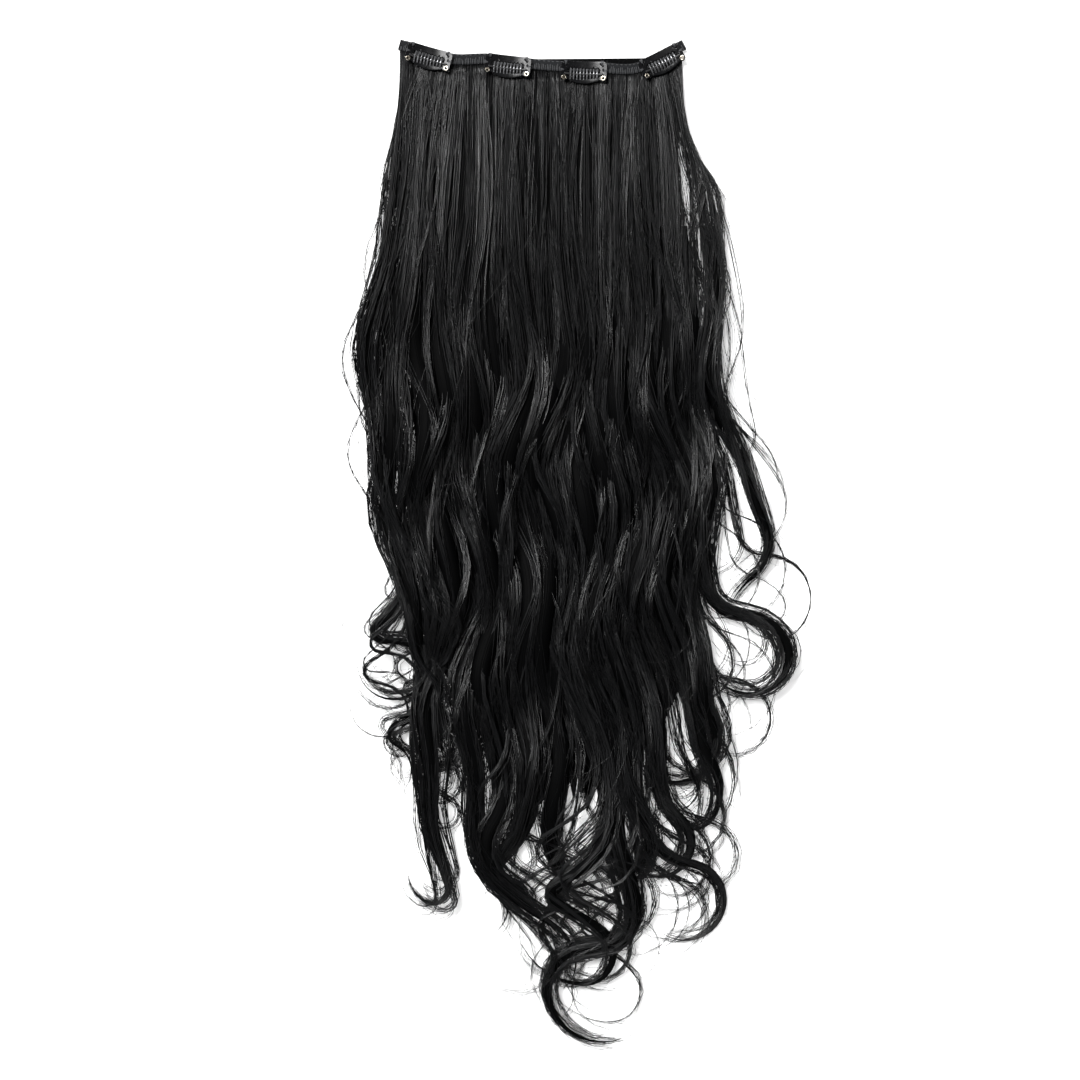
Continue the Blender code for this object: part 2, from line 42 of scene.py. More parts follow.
# sizes that the part's solids follow, in metres
weftHalf = 100 * mm
bandHeight = 7.2 * mm
bandThickness = 4.0 * mm
bandRise = 14.0 * mm
seamGap = 0.7 * mm
hairDrop = 678 * mm
seamDrop = 4.8 * mm
curlSize = 25 * mm
lockWidth = 21 * mm
lockThickness = 15 * mm
lockLift = 15 * mm
rootFade = 0.12
waveLength = 150 * mm
waveHeight = 8 * mm
bandSeat = bandHeight / 2 + 0.4 * mm
clipSeat = bandThickness + 0.3 * mm
clipWidth = 32 * mm

# clip number, place along the band and its rise as shares, tilt in degrees
clips = (
    (1, -0.774, 0.582, -15.6),
    (2, -0.228, 0.171, -6.6),
    (3, 0.300, -0.121, -2.1),
    (4, 0.825, 0.361, 27.0),
)
bandEnds = ((-0.99, 0.99, -15.6), (1.00, 0.99, 27.0))

# the body of the hair: drop, left edge, right edge, thickness, all as shares
backing = np.array((
    (0.000, -0.98, 0.98, 0.17),
    (0.018, -0.98, 0.98, 0.18),
    (0.045, -0.97, 1.01, 0.50),
    (0.100, -0.95, 0.98, 0.75),
    (0.200, -0.97, 0.97, 0.92),
    (0.300, -0.95, 1.04, 1.00),
    (0.400, -0.90, 1.10, 1.00),
    (0.500, -0.86, 1.12, 1.00),
    (0.600, -0.83, 1.11, 0.94),
    (0.680, -0.72, 1.04, 0.82),
    (0.750, -0.54, 0.84, 0.62),
    (0.800, -0.34, 0.58, 0.36),
))

# locks: name, root, five sways, reach, width, lift, bends of (turn in degrees, radius share)
locks = (
    ("outer_left", -0.95, (-0.96, -1.06, -1.20, -1.18, -0.95), 0.480, 0.50, 0.50,
     ((-84, 1.9), (150, 0.25), (-6, 4.0), (-150, 0.80), (-120, 1.0))),
    ("left_ringlet", -0.86, (-0.90, -0.98, -1.10, -0.98, -0.86), 0.590, 0.66, 0.80,
     ((45, 1.2), (-115, 0.7), (-8, 5.5), (140, 0.30), (-100, 0.8))),
    ("left_inner", -0.74, (-0.80, -0.88, -0.84, -0.76, -0.80), 0.640, 0.80, 0.40,
     ((70, 1.0), (-160, 0.55), (-5, 3.0), (110, 0.5))),
    ("left_tail", -0.60, (-0.64, -0.72, -0.64, -0.72, -0.78), 0.750, 0.86, 0.60,
     ((28, 2.4), (-4, 18.0), (-130, 0.42), (-60, 0.9))),
    ("left_hook", -0.46, (-0.48, -0.54, -0.40, -0.46, -0.46), 0.770, 0.80, 0.30,
     ((58, 2.2), (6, 16.0), (-50, 1.4), (-60, 0.9))),
    ("mid_left", -0.34, (-0.34, -0.36, -0.26, -0.36, -0.26), 0.740, 0.94, 0.50,
     ((-35, 1.6), (105, 1.1), (-100, 0.7))),
    ("mid_a", -0.20, (-0.20, -0.12, -0.20, -0.06, -0.14), 0.770, 0.94, 0.70,
     ((-40, 1.4), (90, 0.8), (-90, 0.8))),
    ("centre", -0.06, (-0.04, 0.04, -0.06, 0.08, 0.06), 0.790, 1.00, 0.40,
     ((35, 1.2), (-80, 1.0), (60, 1.0))),
    ("big_ringlet", 0.10, (0.12, 0.16, 0.08, 0.24, 0.48), 0.745, 0.94, 0.90,
     ((-70, 2.1), (-2, 14.0), (124, 0.34), (-4, 20.0), (-150, 0.85), (-60, 2.0))),
    ("tip_curl", 0.24, (0.26, 0.30, 0.24, 0.44, 0.64), 0.850, 1.00, 0.60,
     ((-50, 1.3), (-50, 0.9), (-3, 8.0), (103, 1.1), (95, 1.6))),
    ("mid_right", 0.38, (0.38, 0.44, 0.44, 0.44, 0.60), 0.740, 0.94, 0.70,
     ((35, 1.6), (-100, 0.9), (-110, 0.8))),
    ("right_fan", 0.45, (0.46, 0.48, 0.52, 0.56, 0.70), 0.770, 0.70, 0.30,
     ((70, 1.6), (-125, 1.1), (-80, 1.1))),
    ("right_a", 0.56, (0.58, 0.56, 0.66, 0.68, 0.84), 0.740, 0.86, 0.80,
     ((40, 1.4), (-120, 0.9), (-60, 1.0))),
    ("right_b", 0.68, (0.72, 0.76, 0.84, 0.92, 1.10), 0.680, 0.80, 0.40,
     ((30, 1.6), (-60, 1.6), (-100, 0.7))),
    ("right_c", 0.78, (0.86, 0.90, 0.98, 1.06, 1.12), 0.640, 0.74, 0.80,
     ((35, 1.2), (-90, 1.2), (-90, 1.0))),
    ("right_loop", 0.86, (0.96, 1.02, 1.08, 1.12, 1.16), 0.530, 0.74, 0.80,
     ((80, 1.0), (-45, 1.35), (-140, 1.05), (-60, 1.4))),
    ("outer_right", 0.92, (1.11, 1.20, 1.21, 1.28, 1.56), 0.470, 0.46, 0.30,
     ((-75, 1.2), (30, 2.0))),
)


class Wire:  # an output socket of a material, with arithmetic on it
    def __init__(self, tree, socket):
        self.tree = tree
        self.socket = socket

    def node(self, kind, settings=None, values=None, out=0):  # any node by type, settings, inputs
        made = self.tree.nodes.new(kind)
        for name, value in (settings or {}).items():
            setattr(made, name, value)
        for place, value in (values or {}).items():
            if isinstance(value, Wire):
                self.tree.links.new(value.socket, made.inputs[place])
            else:
                made.inputs[place].default_value = value
        return Wire(self.tree, made.outputs[out])

    def maths(self, operation, first, second):
        return self.node("ShaderNodeMath", {"operation": operation}, {0: first, 1: second})

    def __add__(self, other):
        return self.maths("ADD", self, other)

    def __radd__(self, other):
        return self.maths("ADD", other, self)

    def __sub__(self, other):
        return self.maths("SUBTRACT", self, other)

    def __rsub__(self, other):
        return self.maths("SUBTRACT", other, self)

    def __mul__(self, other):
        return self.maths("MULTIPLY", self, other)

    def __rmul__(self, other):
        return self.maths("MULTIPLY", other, self)

    def between(self, low, high):  # 0 below low, 1 above high, smooth between
        return self.node(
            "ShaderNodeMapRange", {"interpolation_type": "SMOOTHSTEP"}, {0: self, 1: low, 2: high}
        )

    def colours(self, first, second):  # first at 0, second at 1
        settings = {"data_type": "RGBA"}
        values = {0: self, 6: (*first, 1), 7: (*second, 1)}
        return self.node("ShaderNodeMix", settings, values, 2)

    def scaled(self, factors):  # a vector times three factors
        return self.node("ShaderNodeVectorMath", {"operation": "MULTIPLY"}, {0: self, 1: factors})

    def noise(self, scale, detail):
        return self.node("ShaderNodeTexNoise", {}, {"Vector": self, "Scale": scale, "Detail": detail})

    def grain(self, scale, detail):  # noise on the object's own coordinates
        return self.node("ShaderNodeTexCoord", out=3).noise(scale, detail)

    def stripes(self, direction, scale):  # sine bands that follow each other along a direction
        settings = {"wave_type": "BANDS", "wave_profile": "SIN", "bands_direction": direction}
        return self.node("ShaderNodeTexWave", settings, {"Vector": self, "Scale": scale}, 1)

    def bump(self, strength, distance):
        return self.node(
            "ShaderNodeBump", {}, {"Height": self, "Strength": strength, "Distance": distance}
        )


def material(name, build, **constants):
    # build gets the start wire and returns the varying inputs; constants go on the sockets
    made = bpy.data.materials.new(name)
    made.use_nodes = True
    tree = made.node_tree
    shader = tree.nodes["Principled BSDF"]
    for key, value in constants.items():
        shader.inputs[key.replace("_", " ")].default_value = value
    for key, value in build(Wire(tree, None)).items():
        tree.links.new(value.socket, shader.inputs[key])
    return made


def hairLook(start):
    # tone runs from strand to strand, and along a strand it shifts in patches of some centimetres
    tone = start.node("ShaderNodeAttribute", {"attribute_name": "tone"}, out=2)
    patches = start.grain(28.0, 1.0)
    mixed = tone * 0.7 + patches * 0.5
    return {
        "Base Color": mixed.colours((0.0002, 0.0002, 0.0003), (0.0024, 0.0027, 0.0034)),
        "Roughness": 0.16 + tone * 0.42 + patches * 0.12,
        "Coat Weight": (1 - tone).between(0.35, 0.85) * 0.55,
    }


def coreShadeLook(start):
    # fine streaks along the body under the strands, from the surface's own u and v; its near-black, darker
    # than the strands, is painted deep shade between them
    streaks = start.node("ShaderNodeUVMap").scaled((260.0, 3.0, 1.0)).noise(1.0, 3.0)
    return {
        "Base Color": streaks.colours((0.0001, 0.0001, 0.0001), (0.0010, 0.0011, 0.0013)),
        "Roughness": 0.48 + streaks * 0.2,
        "Normal": streaks.bump(0.8, 0.0006),
    }


def enamelLook(start):
    skin = start.grain(420.0, 2.0)
    dust = start.grain(1800.0, 2.0).between(0.62, 0.80)
    return {
        "Base Color": dust.colours((0.0055, 0.0056, 0.0062), (0.030, 0.030, 0.032)),
        "Roughness": 0.17 + skin * 0.12 + dust * 0.2,
        "Normal": skin.bump(0.05, 0.0002),
    }


def combLook(start):
    # enamel worn thin over the steel of the teeth, where tone is 1, and whole on the bar
    tone = start.node("ShaderNodeAttribute", {"attribute_name": "tone"}, out=2)
    wear = start.grain(700.0, 3.0).between(0.35, 0.70) * tone
    skin = start.grain(420.0, 2.0)
    return {
        "Base Color": (wear * 0.6 + tone * 0.4).colours((0.0055, 0.0056, 0.0062), (0.250, 0.252, 0.262)),
        "Metallic": tone * 0.5 + wear * 0.3,
        "Roughness": 0.20 + skin * 0.14,
        "Normal": skin.bump(0.1, 0.0002),
    }


def siliconeLook(start):
    skin = start.grain(900.0, 2.0)
    return {
        "Base Color": skin.colours((0.006, 0.006, 0.0065), (0.016, 0.016, 0.017)),
        "Roughness": 0.34 + skin * 0.16,
        "Normal": skin.bump(0.15, 0.0002),
    }


def rivetLook(start):
    skin = start.grain(1300.0, 3.0)
    stain = skin.between(0.45, 0.75)
    return {
        "Base Color": stain.colours((0.56, 0.52, 0.45), (0.30, 0.25, 0.18)),
        "Roughness": 0.20 + skin * 0.2,
        "Normal": skin.bump(0.1, 0.0001),
    }


def fabricLook(start):
    # a plain weave on u and v: warp over weft in turn, with fuzz
    cloth = start.node("ShaderNodeUVMap")
    fuzz = start.grain(1500.0, 3.0)
    weave = cloth.stripes("X", 120.0) * 0.5 + cloth.stripes("Y", 5.0) * 0.5 + fuzz * 0.6
    return {
        "Base Color": weave.between(0.3, 1.3).colours((0.0022, 0.0024, 0.0030), (0.015, 0.016, 0.018)),
        "Roughness": 0.62 + fuzz * 0.3,
        "Normal": weave.bump(0.7, 0.0004),
    }


def threadLook(start):
    fuzz = start.grain(2600.0, 2.0)
    return {
        "Base Color": fuzz.colours((0.030, 0.031, 0.034), (0.140, 0.144, 0.152)),
        "Roughness": 0.38 + fuzz * 0.2,
        "Normal": fuzz.bump(0.4, 0.0001),
    }


def floorLook(start):
    grain = start.grain(60.0, 3.0)
    return {
        "Base Color": grain.colours((0.90, 0.90, 0.90), (0.93, 0.93, 0.93)),
        "Roughness": 0.65 + grain * 0.1,
    }


hairPaint = material("hair_strands", hairLook, Specular_IOR_Level=0.24, Coat_Roughness=0.22)
# the core's material: the dense black hair inside, painted darker than the strands as deep shade between
# them
coreShadePaint = material("hair_core_shade", coreShadeLook, Specular_IOR_Level=0.03)
enamelPaint = material(
    "black_enamel_gloss", enamelLook, Coat_Weight=0.08, Coat_Roughness=0.16, Specular_IOR_Level=0.2
)
combPaint = material("comb_enamel", combLook, Specular_IOR_Level=0.14)
siliconePaint = material("black_silicone_satin", siliconeLook)
rivetPaint = material("plated_rivet", rivetLook, Metallic=1.0)
fabricPaint = material("band_weave", fabricLook, Specular_IOR_Level=0.25)
threadPaint = material("sewing_thread", threadLook)
floorPaint = material("pale_floor", floorLook, Emission_Color=(1, 1, 1, 1), Emission_Strength=0.5)


def unit(degrees):
    return np.array((math.cos(math.radians(degrees)), math.sin(math.radians(degrees))))


def cubic(t, gap, a, b, da, db):  # from a at t 0 to b at t 1, with slopes da and db over a gap
    return (
        (2 * t**3 - 3 * t**2 + 1) * a
        + (t**3 - 2 * t**2 + t) * gap * da
        + (3 * t**2 - 2 * t**3) * b
        + (t**3 - t**2) * gap * db
    )


def curve(stations, values, wanted):  # cubics through values at stations, read at wanted
    stations = np.asarray(stations, float)
    values = np.asarray(values, float)
    slopes = np.gradient(values, stations)
    k = np.clip(np.searchsorted(stations, wanted, side="right") - 1, 0, len(stations) - 2)
    gap = stations[k + 1] - stations[k]
    return cubic((wanted - stations[k]) / gap, gap, values[k], values[k + 1], slopes[k], slopes[k + 1])


def runOf(line):  # length along a plan line at each of its points
    return np.concatenate(((0,), np.cumsum(np.linalg.norm(np.diff(line, axis=0), axis=1))))


def readLine(line, run, wanted):  # points of a plan line at the wanted places of its run
    return np.stack([np.interp(wanted, run, line[:, k]) for k in (0, 1)], axis=-1)


def bandLine(perPiece):
    # cubics through points 0.4 of a clip's width either side of each clip, along its tilt
    (left, leftRise, leftTilt), (right, rightRise, rightTilt) = bandEnds
    knots = [np.array((left * weftHalf, leftRise * bandRise))]
    runs = [unit(leftTilt)]
    for _, along, rise, tilt in clips:
        middle = np.array((along * weftHalf, rise * bandRise))
        for side in (-1, 1):
            knots.append(middle + side * 0.4 * clipWidth * unit(tilt))
            runs.append(unit(tilt))
    knots.append(np.array((right * weftHalf, rightRise * bandRise)))
    runs.append(unit(rightTilt))
    t = (np.arange(perPiece) / perPiece)[:, None]
    parts = []
    for a, b, da, db in zip(knots, knots[1:], runs, runs[1:]):
        parts.append(cubic(t, np.linalg.norm(b - a), a, b, da, db))
    return np.concatenate(parts + [knots[-1][None, :]])


def across(line):  # unit vectors square to a plan line, to the left of its run
    run = np.gradient(line, axis=0)
    run /= np.linalg.norm(run, axis=1)[:, None]
    return np.stack((-run[:, 1], run[:, 0]), axis=1)


band = bandLine(16)
bandAcross = across(band)
seam = band - (bandHeight / 2 + seamGap) * bandAcross


def fallLine(x, drop):  # Y at a drop: the seam's own height near it, level further down
    fade = np.clip(1 - drop / rootFade, 0, 1) ** 2
    return (np.interp(x, seam[:, 0], seam[:, 1]) + seamDrop) * fade - seamDrop - drop * hairDrop


def depthBelow(line):  # the drop that fallLine turns into each point's Y
    fade = np.clip(1 + line[:, 1] / hairDrop / rootFade, 0, 1) ** 2
    start = np.interp(line[:, 0], seam[:, 0], seam[:, 1]) + seamDrop
    return (start * fade - seamDrop - line[:, 1]) / hairDrop


def meshPiece(name, points, faces, paint, uv=None, tone=None):
    # points is n by 3, faces is m by 4 or m by 3 whole numbers, uv and tone are one row a point
    mesh = bpy.data.meshes.new(name)
    count, sides = faces.shape
    mesh.vertices.add(len(points))
    mesh.vertices.foreach_set("co", points.astype(np.float32).ravel())
    mesh.loops.add(count * sides)
    mesh.loops.foreach_set("vertex_index", faces.astype(np.int32).ravel())
    mesh.polygons.add(count)
    mesh.polygons.foreach_set("loop_start", np.arange(0, count * sides, sides, dtype=np.int32))
    mesh.polygons.foreach_set("use_smooth", np.full(count, True))
    mesh.update(calc_edges=True)
    if uv is not None:
        layer = mesh.uv_layers.new(name="UVMap")
        layer.data.foreach_set("uv", uv[faces.ravel()].astype(np.float32).ravel())
    if tone is not None:
        layer = mesh.attributes.new("tone", "FLOAT", "POINT")
        layer.data.foreach_set("value", tone.astype(np.float32))
    mesh.materials.append(paint)
    made = bpy.data.objects.new(name, mesh)
    bpy.context.scene.collection.objects.link(made)
    return made


def pointRows(*axes):  # coordinates side by side, one row a point
    return np.stack(np.broadcast_arrays(*axes), axis=-1).reshape(-1, len(axes))


def ringAngles(sides, shift=0.0):
    return 2 * np.pi * (np.arange(sides) + shift) / sides


def fuller(wave, power):  # a sine wave with fuller tops: sgn(wave) |wave|^power
    return np.sign(wave) * np.abs(wave) ** power


def gridQuads(rows, sides):  # quads of rings joined along their rows
    row = (np.arange(rows - 1) * sides)[:, None]
    k = np.arange(sides)[None, :]
    m = (k + 1) % sides
    return np.stack((row + k, row + m, row + m + sides, row + k + sides), axis=2).reshape(-1, 4)


def tubes(lines, radii, sides):
    # lines is strands by stations by 3 and radii strands by stations; returns points and quads.
    # A ring: p + r (cos a * n + sin a * b), n level and b square to it.
    strands, stations, _ = lines.shape
    run = np.gradient(lines, axis=1)
    run /= np.linalg.norm(run, axis=2, keepdims=True) + 1e-12
    level = np.stack((-run[..., 1], run[..., 0], np.zeros_like(run[..., 0])), axis=2)
    level /= np.linalg.norm(level, axis=2, keepdims=True) + 1e-12
    upward = np.cross(run, level)
    angles = ringAngles(sides)[None, None, :, None]
    ring = level[:, :, None, :] * np.cos(angles) + upward[:, :, None, :] * np.sin(angles)
    points = lines[:, :, None, :] + radii[:, :, None, None] * ring
    start = (np.arange(strands) * stations * sides)[:, None, None]
    return points.reshape(-1, 3), (start + gridQuads(stations, sides)).reshape(-1, 4)


def joined(parts):  # several (points, faces) with as many corners a face become one
    offset = np.cumsum([0] + [len(points) for points, _ in parts[:-1]])
    points = np.concatenate([points for points, _ in parts])
    return points, np.concatenate([faces + n for (_, faces), n in zip(parts, offset)])


def fans(count, start, rows, sides):  # triangles that close both ends of each tube of rings
    k = np.arange(1, sides - 1)
    one = np.zeros_like(k)
    near = np.stack((one, k + 1, k), axis=1)
    far = np.stack((one, k, k + 1), axis=1) + (rows - 1) * sides
    first = start + np.arange(count) * rows * sides
    return (np.concatenate((near, far))[None] + first[:, None, None]).reshape(-1, 3)


def capped(lines, radii, sides):  # closed tubes: their quads split, and a fan over each end
    points, quads = tubes(lines, radii, sides)
    ends = fans(len(lines), 0, lines.shape[1], sides)
    return points, np.concatenate((quads[:, (0, 1, 2)], quads[:, (0, 2, 3)], ends))


def strandPiece(name, lines, radii, tone):  # closed strands with three sides
    points, faces = capped(lines, radii, 3)
    return meshPiece(name, points, faces, hairPaint, tone=np.repeat(tone, lines.shape[1] * 3))


hair = {
    "wisps": 11,  # bundles in a lock of full width
    "between": 2,  # bundles between two neighbouring locks
    "strands": 18,  # strands in a bundle
    "stations": 32,
    "straight": 110,  # points of a lock's path before its bends
    "satellites": 6,  # thin loose bundles of a lock
    "rootRadius": 0.20 * mm,
    "midRadius": 0.25 * mm,
    "tipRadius": 0.06 * mm,
    "heave": 5.6 * mm,  # height of the slow waves of the body
    "heaveLength": 122 * mm,
    "outline": (-143 * mm, 191 * mm, -706 * mm),  # where strands are drawn again: left, right, end
    "narrowFrom": 100 * mm,  # strands that end past widest are narrowed from here
    "widest": 188 * mm,
}


def lockPath(root, sways, reach, bends, start, phase=0.0, swell=1.0):
    # plan line of a lock: cubics through the sways down to the reach, with a wave of
    # waveHeight sin(2 pi y / waveLength + phase), then arcs that follow on:
    # centre = p + s r (cos h, sin h), point = centre - s r (cos a, sin a), heading h from -Y
    stations = np.linspace(0, reach, len(sways) + 1)
    drops = np.linspace(start, reach, hair["straight"])
    x = curve(stations, np.array((root, *sways)) * weftHalf, drops)
    swing = np.clip((drops - 0.18) / 0.22, 0, 1) * np.clip((reach - drops) / 0.10, 0, 1)
    turns = 2 * np.pi * drops * hairDrop / waveLength + 2.6 * root + phase
    x = x + waveHeight * swell * swing * np.sin(turns)
    pieces = [np.stack((x, fallLine(x, drops)), axis=1)]
    ahead = pieces[0][-1] - pieces[0][-2]
    heading = math.atan2(ahead[0], -ahead[1])
    here = pieces[0][-1]
    for turn, share in bends:
        side = 1 if turn > 0 else -1
        radius = share * curlSize
        centre = here + side * radius * np.array((math.cos(heading), math.sin(heading)))
        angles = heading + np.radians(np.linspace(0, turn, max(3, int(abs(turn) / 5)) + 1))[1:]
        arc = centre - side * radius * np.stack((np.cos(angles), np.sin(angles)), axis=1)
        pieces.append(arc)
        heading = angles[-1]
        here = arc[-1]
    line = np.concatenate(pieces)
    share = runOf(line) / runOf(line)[-1]
    return line, share, share[hair["straight"] - 1]  # the last is where the bends begin


def resample(line, share, bend, count):
    # stations closer where the line bends and near the root: cost grows by 1 for each 24 mm or
    # bend in degrees, and 4 times as fast over the first 30 mm
    steps = np.diff(line, axis=0)
    lengths = np.linalg.norm(steps, axis=1)
    lengths = lengths * np.where(np.cumsum(lengths) < 30 * mm, 4, 1)
    headings = np.unwrap(np.arctan2(steps[:, 1], steps[:, 0]))
    turns = np.abs(np.gradient(headings))
    cost = np.concatenate(((0,), np.cumsum(lengths / (24 * mm) + turns / math.radians(bend))))
    wanted = np.linspace(0, cost[-1], count)
    return readLine(line, cost, wanted), np.interp(wanted, cost, share)


def bendRadius(line):
    # radius of the bend at each point of a plan line: length between points over the turn there
    steps = np.diff(line, axis=0)
    headings = np.unwrap(np.arctan2(steps[:, 1], steps[:, 0]))
    lengths = np.linalg.norm(steps, axis=1)
    radius = (lengths[1:] + lengths[:-1]) / 2 / np.maximum(np.abs(np.diff(headings)), 1e-6)
    radius = np.concatenate((radius[:1], radius, radius[-1:]))
    padded = np.concatenate((radius[:1], radius, radius[-1:]))
    return np.minimum(radius, np.minimum(padded[:-2], padded[2:]))


def smoothStep(x, low, high):
    t = np.clip((x - low) / (high - low), 0, 1)
    return t * t * (3 - 2 * t)


def hairTop(drop):  # height of the hair's top surface at a drop
    drops = (0, 0.004, 0.016, 0.032, 0.055, 0.1, 0.2, 0.35, 0.6, 0.8)
    heights = np.array((2.9, 2.0, 2.0, 3.4, 6.4, 10, 13.5, 15.5, 16, 15)) * mm
    return np.interp(drop, drops, heights)


def lockShape(lock, line, share, curlStart, phase):
    # half width, height of the middle and half height along a lock: part of the body at first,
    # a rope of its own from where it curls, heaved by A sin(2 pi y / heaveLength + phase)
    _, root, _, _, width, lift, _ = lock
    drop = depthBelow(line)
    curl = smoothStep(share, curlStart - 0.18, curlStart + 0.05)
    spots = (0, curlStart * 0.5, curlStart, (1 + curlStart) / 2, 1)
    halfWide = lockWidth * width / 2 * np.interp(share, spots, (1.6, 1.5, 1.0, 0.62, 0.12))
    halfWide = np.where(share < 0.2, np.maximum(halfWide, 9 * mm), halfWide)
    halfWide = np.minimum(halfWide, 0.8 * bendRadius(line))
    top = hairTop(drop)
    ownHigh = lockThickness * (0.55 + 0.45 * width) * np.interp(share, (0.3, 0.7, 1), (1, 0.8, 0.3))
    ownLift = lockLift * lift * np.interp(share, (0, 0.2, 0.5, 0.8, 1), (0, 0.2, 0.3, 0.75, 0.3))
    middle = (1 - curl) * top * 0.5 + curl * (ownHigh * 0.52 + ownLift)
    halfHigh = (1 - curl) * (top * 0.5 - 0.35 * mm) + curl * ownHigh * 0.42
    heave = np.sin(2 * np.pi * drop * hairDrop / hair["heaveLength"] + 9.7 * root + 4.1 * lift + phase)
    middle = middle + hair["heave"] * heave * smoothStep(drop, 0.14, 0.42) * (1 - 0.35 * curl)
    return halfWide, middle, halfHigh


def wispLines(rng, lock, count, stations, loose, stray, spread):
    # one bundle of a lock: its own path near the lock's, then strands round that path.
    # A strand: path + n (a W + w c) + z (b H + w d), with (a, b) the bundle's place in the lock,
    # (c, d) the strand's place in the bundle, turned slowly along the way
    _, root, sways, reach, _, _, bends = lock
    angle = rng.uniform(0, 2 * np.pi)
    out = math.sqrt(rng.uniform(0.25, 1))
    a = out * math.cos(angle)
    b = out * math.sin(angle)
    nudge = rng.normal(0, 0.030 * (0.4 + loose), 5) * np.array((1, 1, 0.9, 0.7, 0.35 + 0.3 * stray))
    ownReach = reach * (1 + rng.normal(0, 0.009 * loose)) - 0.05 * stray * rng.uniform(0, 2)
    ownBends = tuple(
        (turn * (1 + rng.normal(0, 0.06 * loose)), share * (1 + rng.normal(0, 0.08 * loose)) + 0.03 * a)
        for turn, share in bends
    )
    phase = rng.normal(0, 0.25 + 0.25 * loose)
    swell = rng.uniform(0.7, 1.4)
    line, share, curlStart = lockPath(
        root, np.array(sways) + nudge, ownReach, ownBends, start=-0.0045, phase=phase, swell=swell
    )
    line, share = resample(line, share, 26, stations)
    side = across(line)
    drop = depthBelow(line)
    top = hairTop(drop)
    halfWide, middle, halfHigh = lockShape(lock, line, share, curlStart, rng.normal(0, 0.55))
    spin = 0.6 * np.sin(2 * np.pi * share * rng.uniform(0.8, 1.6) + rng.uniform(0, 6.3))
    spin = spin * smoothStep(share, 0.05, 0.4)
    placeAcross = a * np.cos(spin) - b * np.sin(spin)
    placeUp = b * np.cos(spin) + a * np.sin(spin)
    plan = line + side * (placeAcross * halfWide)[:, None]
    path = np.column_stack((plan, middle + placeUp * halfHigh))
    c = rng.normal(0, 0.55, (count, 1))
    d = rng.normal(0, 0.55, (count, 1))
    twist = 2 * np.pi * share[None, :] * rng.uniform(0.5, 1.6) + rng.uniform(0, 6.3)
    wide = np.interp(share, (0, 0.1, 0.35, curlStart, 1), (3.2, 3.0, 2.4, 2.1, 0.6)) * mm
    wide = wide * (0.75 + 0.3 * loose) * spread
    fray = smoothStep(share, 0.6, 1.0) ** 2
    fraySide = rng.normal(0, 1.1 * mm * loose * spread, (count, 1))
    frayUp = rng.normal(0, 1.0 * mm * loose * spread, (count, 1))
    wave = rng.uniform(0, 2 * np.pi, (count, 1))
    pitch = rng.uniform(3, 6, (count, 1))
    ripple = 0.5 * mm * np.sin(2 * np.pi * pitch * share[None, :] + wave) * smoothStep(share, 0.04, 0.2)
    shiftSide = (c * np.cos(twist) - d * np.sin(twist)) * wide + fraySide * fray + ripple
    shiftUp = (d * np.cos(twist) + c * np.sin(twist)) * wide * 0.7 + frayUp * fray + 0.5 * ripple
    lines = path[None, :, :] + np.zeros((count, 1, 1))
    lines[:, :, :2] += side[None, :, :] * shiftSide[:, :, None]
    limit = (0.93 * weftHalf + 1.5 * weftHalf * smoothStep(drop, 0.012, 0.25) ** 2)[None, :]
    beyond = np.maximum(np.abs(lines[:, :, 0]) - limit, 0)  # roots stay within the band
    lines[:, :, 0] -= np.sign(lines[:, :, 0]) * (beyond - 6 * mm * np.tanh(beyond / (6 * mm)))
    roof = (top + 7 * mm * smoothStep(drop, 0.016, 0.06))[None, :]
    lines[:, :, 2] = np.clip(lines[:, :, 2] + shiftUp, 0.3 * mm, np.minimum(roof, 25 * mm))
    most = max(0.6 * (1 - curlStart), 0.15)  # lengths differ by up to this share
    return retrim(lines, 1 - most * rng.uniform(0, 1, (count, 1)) ** 1.6)


def retrim(lines, trim):  # the same number of stations over the first part of each strand
    strands, stations, _ = lines.shape
    wanted = np.linspace(0, 1, stations)[None, :] * trim * (stations - 1)
    low = np.clip(wanted.astype(int), 0, stations - 2)
    part = (wanted - low)[:, :, None]
    rows = np.arange(strands)[:, None]
    return lines[rows, low] * (1 - part) + lines[rows, low + 1] * part


def strandRadii(rng, lines, scale):
    count, stations, _ = lines.shape
    along = np.linspace(0, 1, stations)[None, :]
    sizes = (hair["rootRadius"], hair["midRadius"], hair["midRadius"], hair["tipRadius"])
    base = np.interp(along, (0, 0.3, 0.82, 1), sizes)
    return base * rng.uniform(0.7, 1.3, (count, 1)) * scale


def straySome(rng, lock, count, stations, loose, stray, spread):
    # as wispLines, drawn again until it stays near the hair's outline
    left, right, end = hair["outline"]
    for attempt in range(16):
        lines = wispLines(rng, lock, count, stations, loose * 0.9**attempt, stray, spread)
        if lines[..., 0].min() > left and lines[..., 0].max() < right and lines[..., 1].min() > end:
            break
    # what still reaches too far right is narrowed: x = n + (x - n) (widest - n) / (high - n)
    narrow = hair["narrowFrom"]
    high = lines[..., 0].max(axis=1, keepdims=True)
    share = np.minimum(1, (hair["widest"] - narrow) / np.maximum(high - narrow, 1 * mm))
    lines[..., 0] -= np.maximum(lines[..., 0] - narrow, 0) * (1 - share)
    return lines


def blended(one, other, share, pick):  # a lock between two, with the curls of one of them
    sways = np.array(one[2]) * (1 - share) + np.array(other[2]) * share
    root, reach, width, lift = (one[k] * (1 - share) + other[k] * share for k in (1, 3, 4, 5))
    return "between", root, sways, reach - 0.02, width * 0.8, lift * 0.5, (one, other)[pick % 2][6]


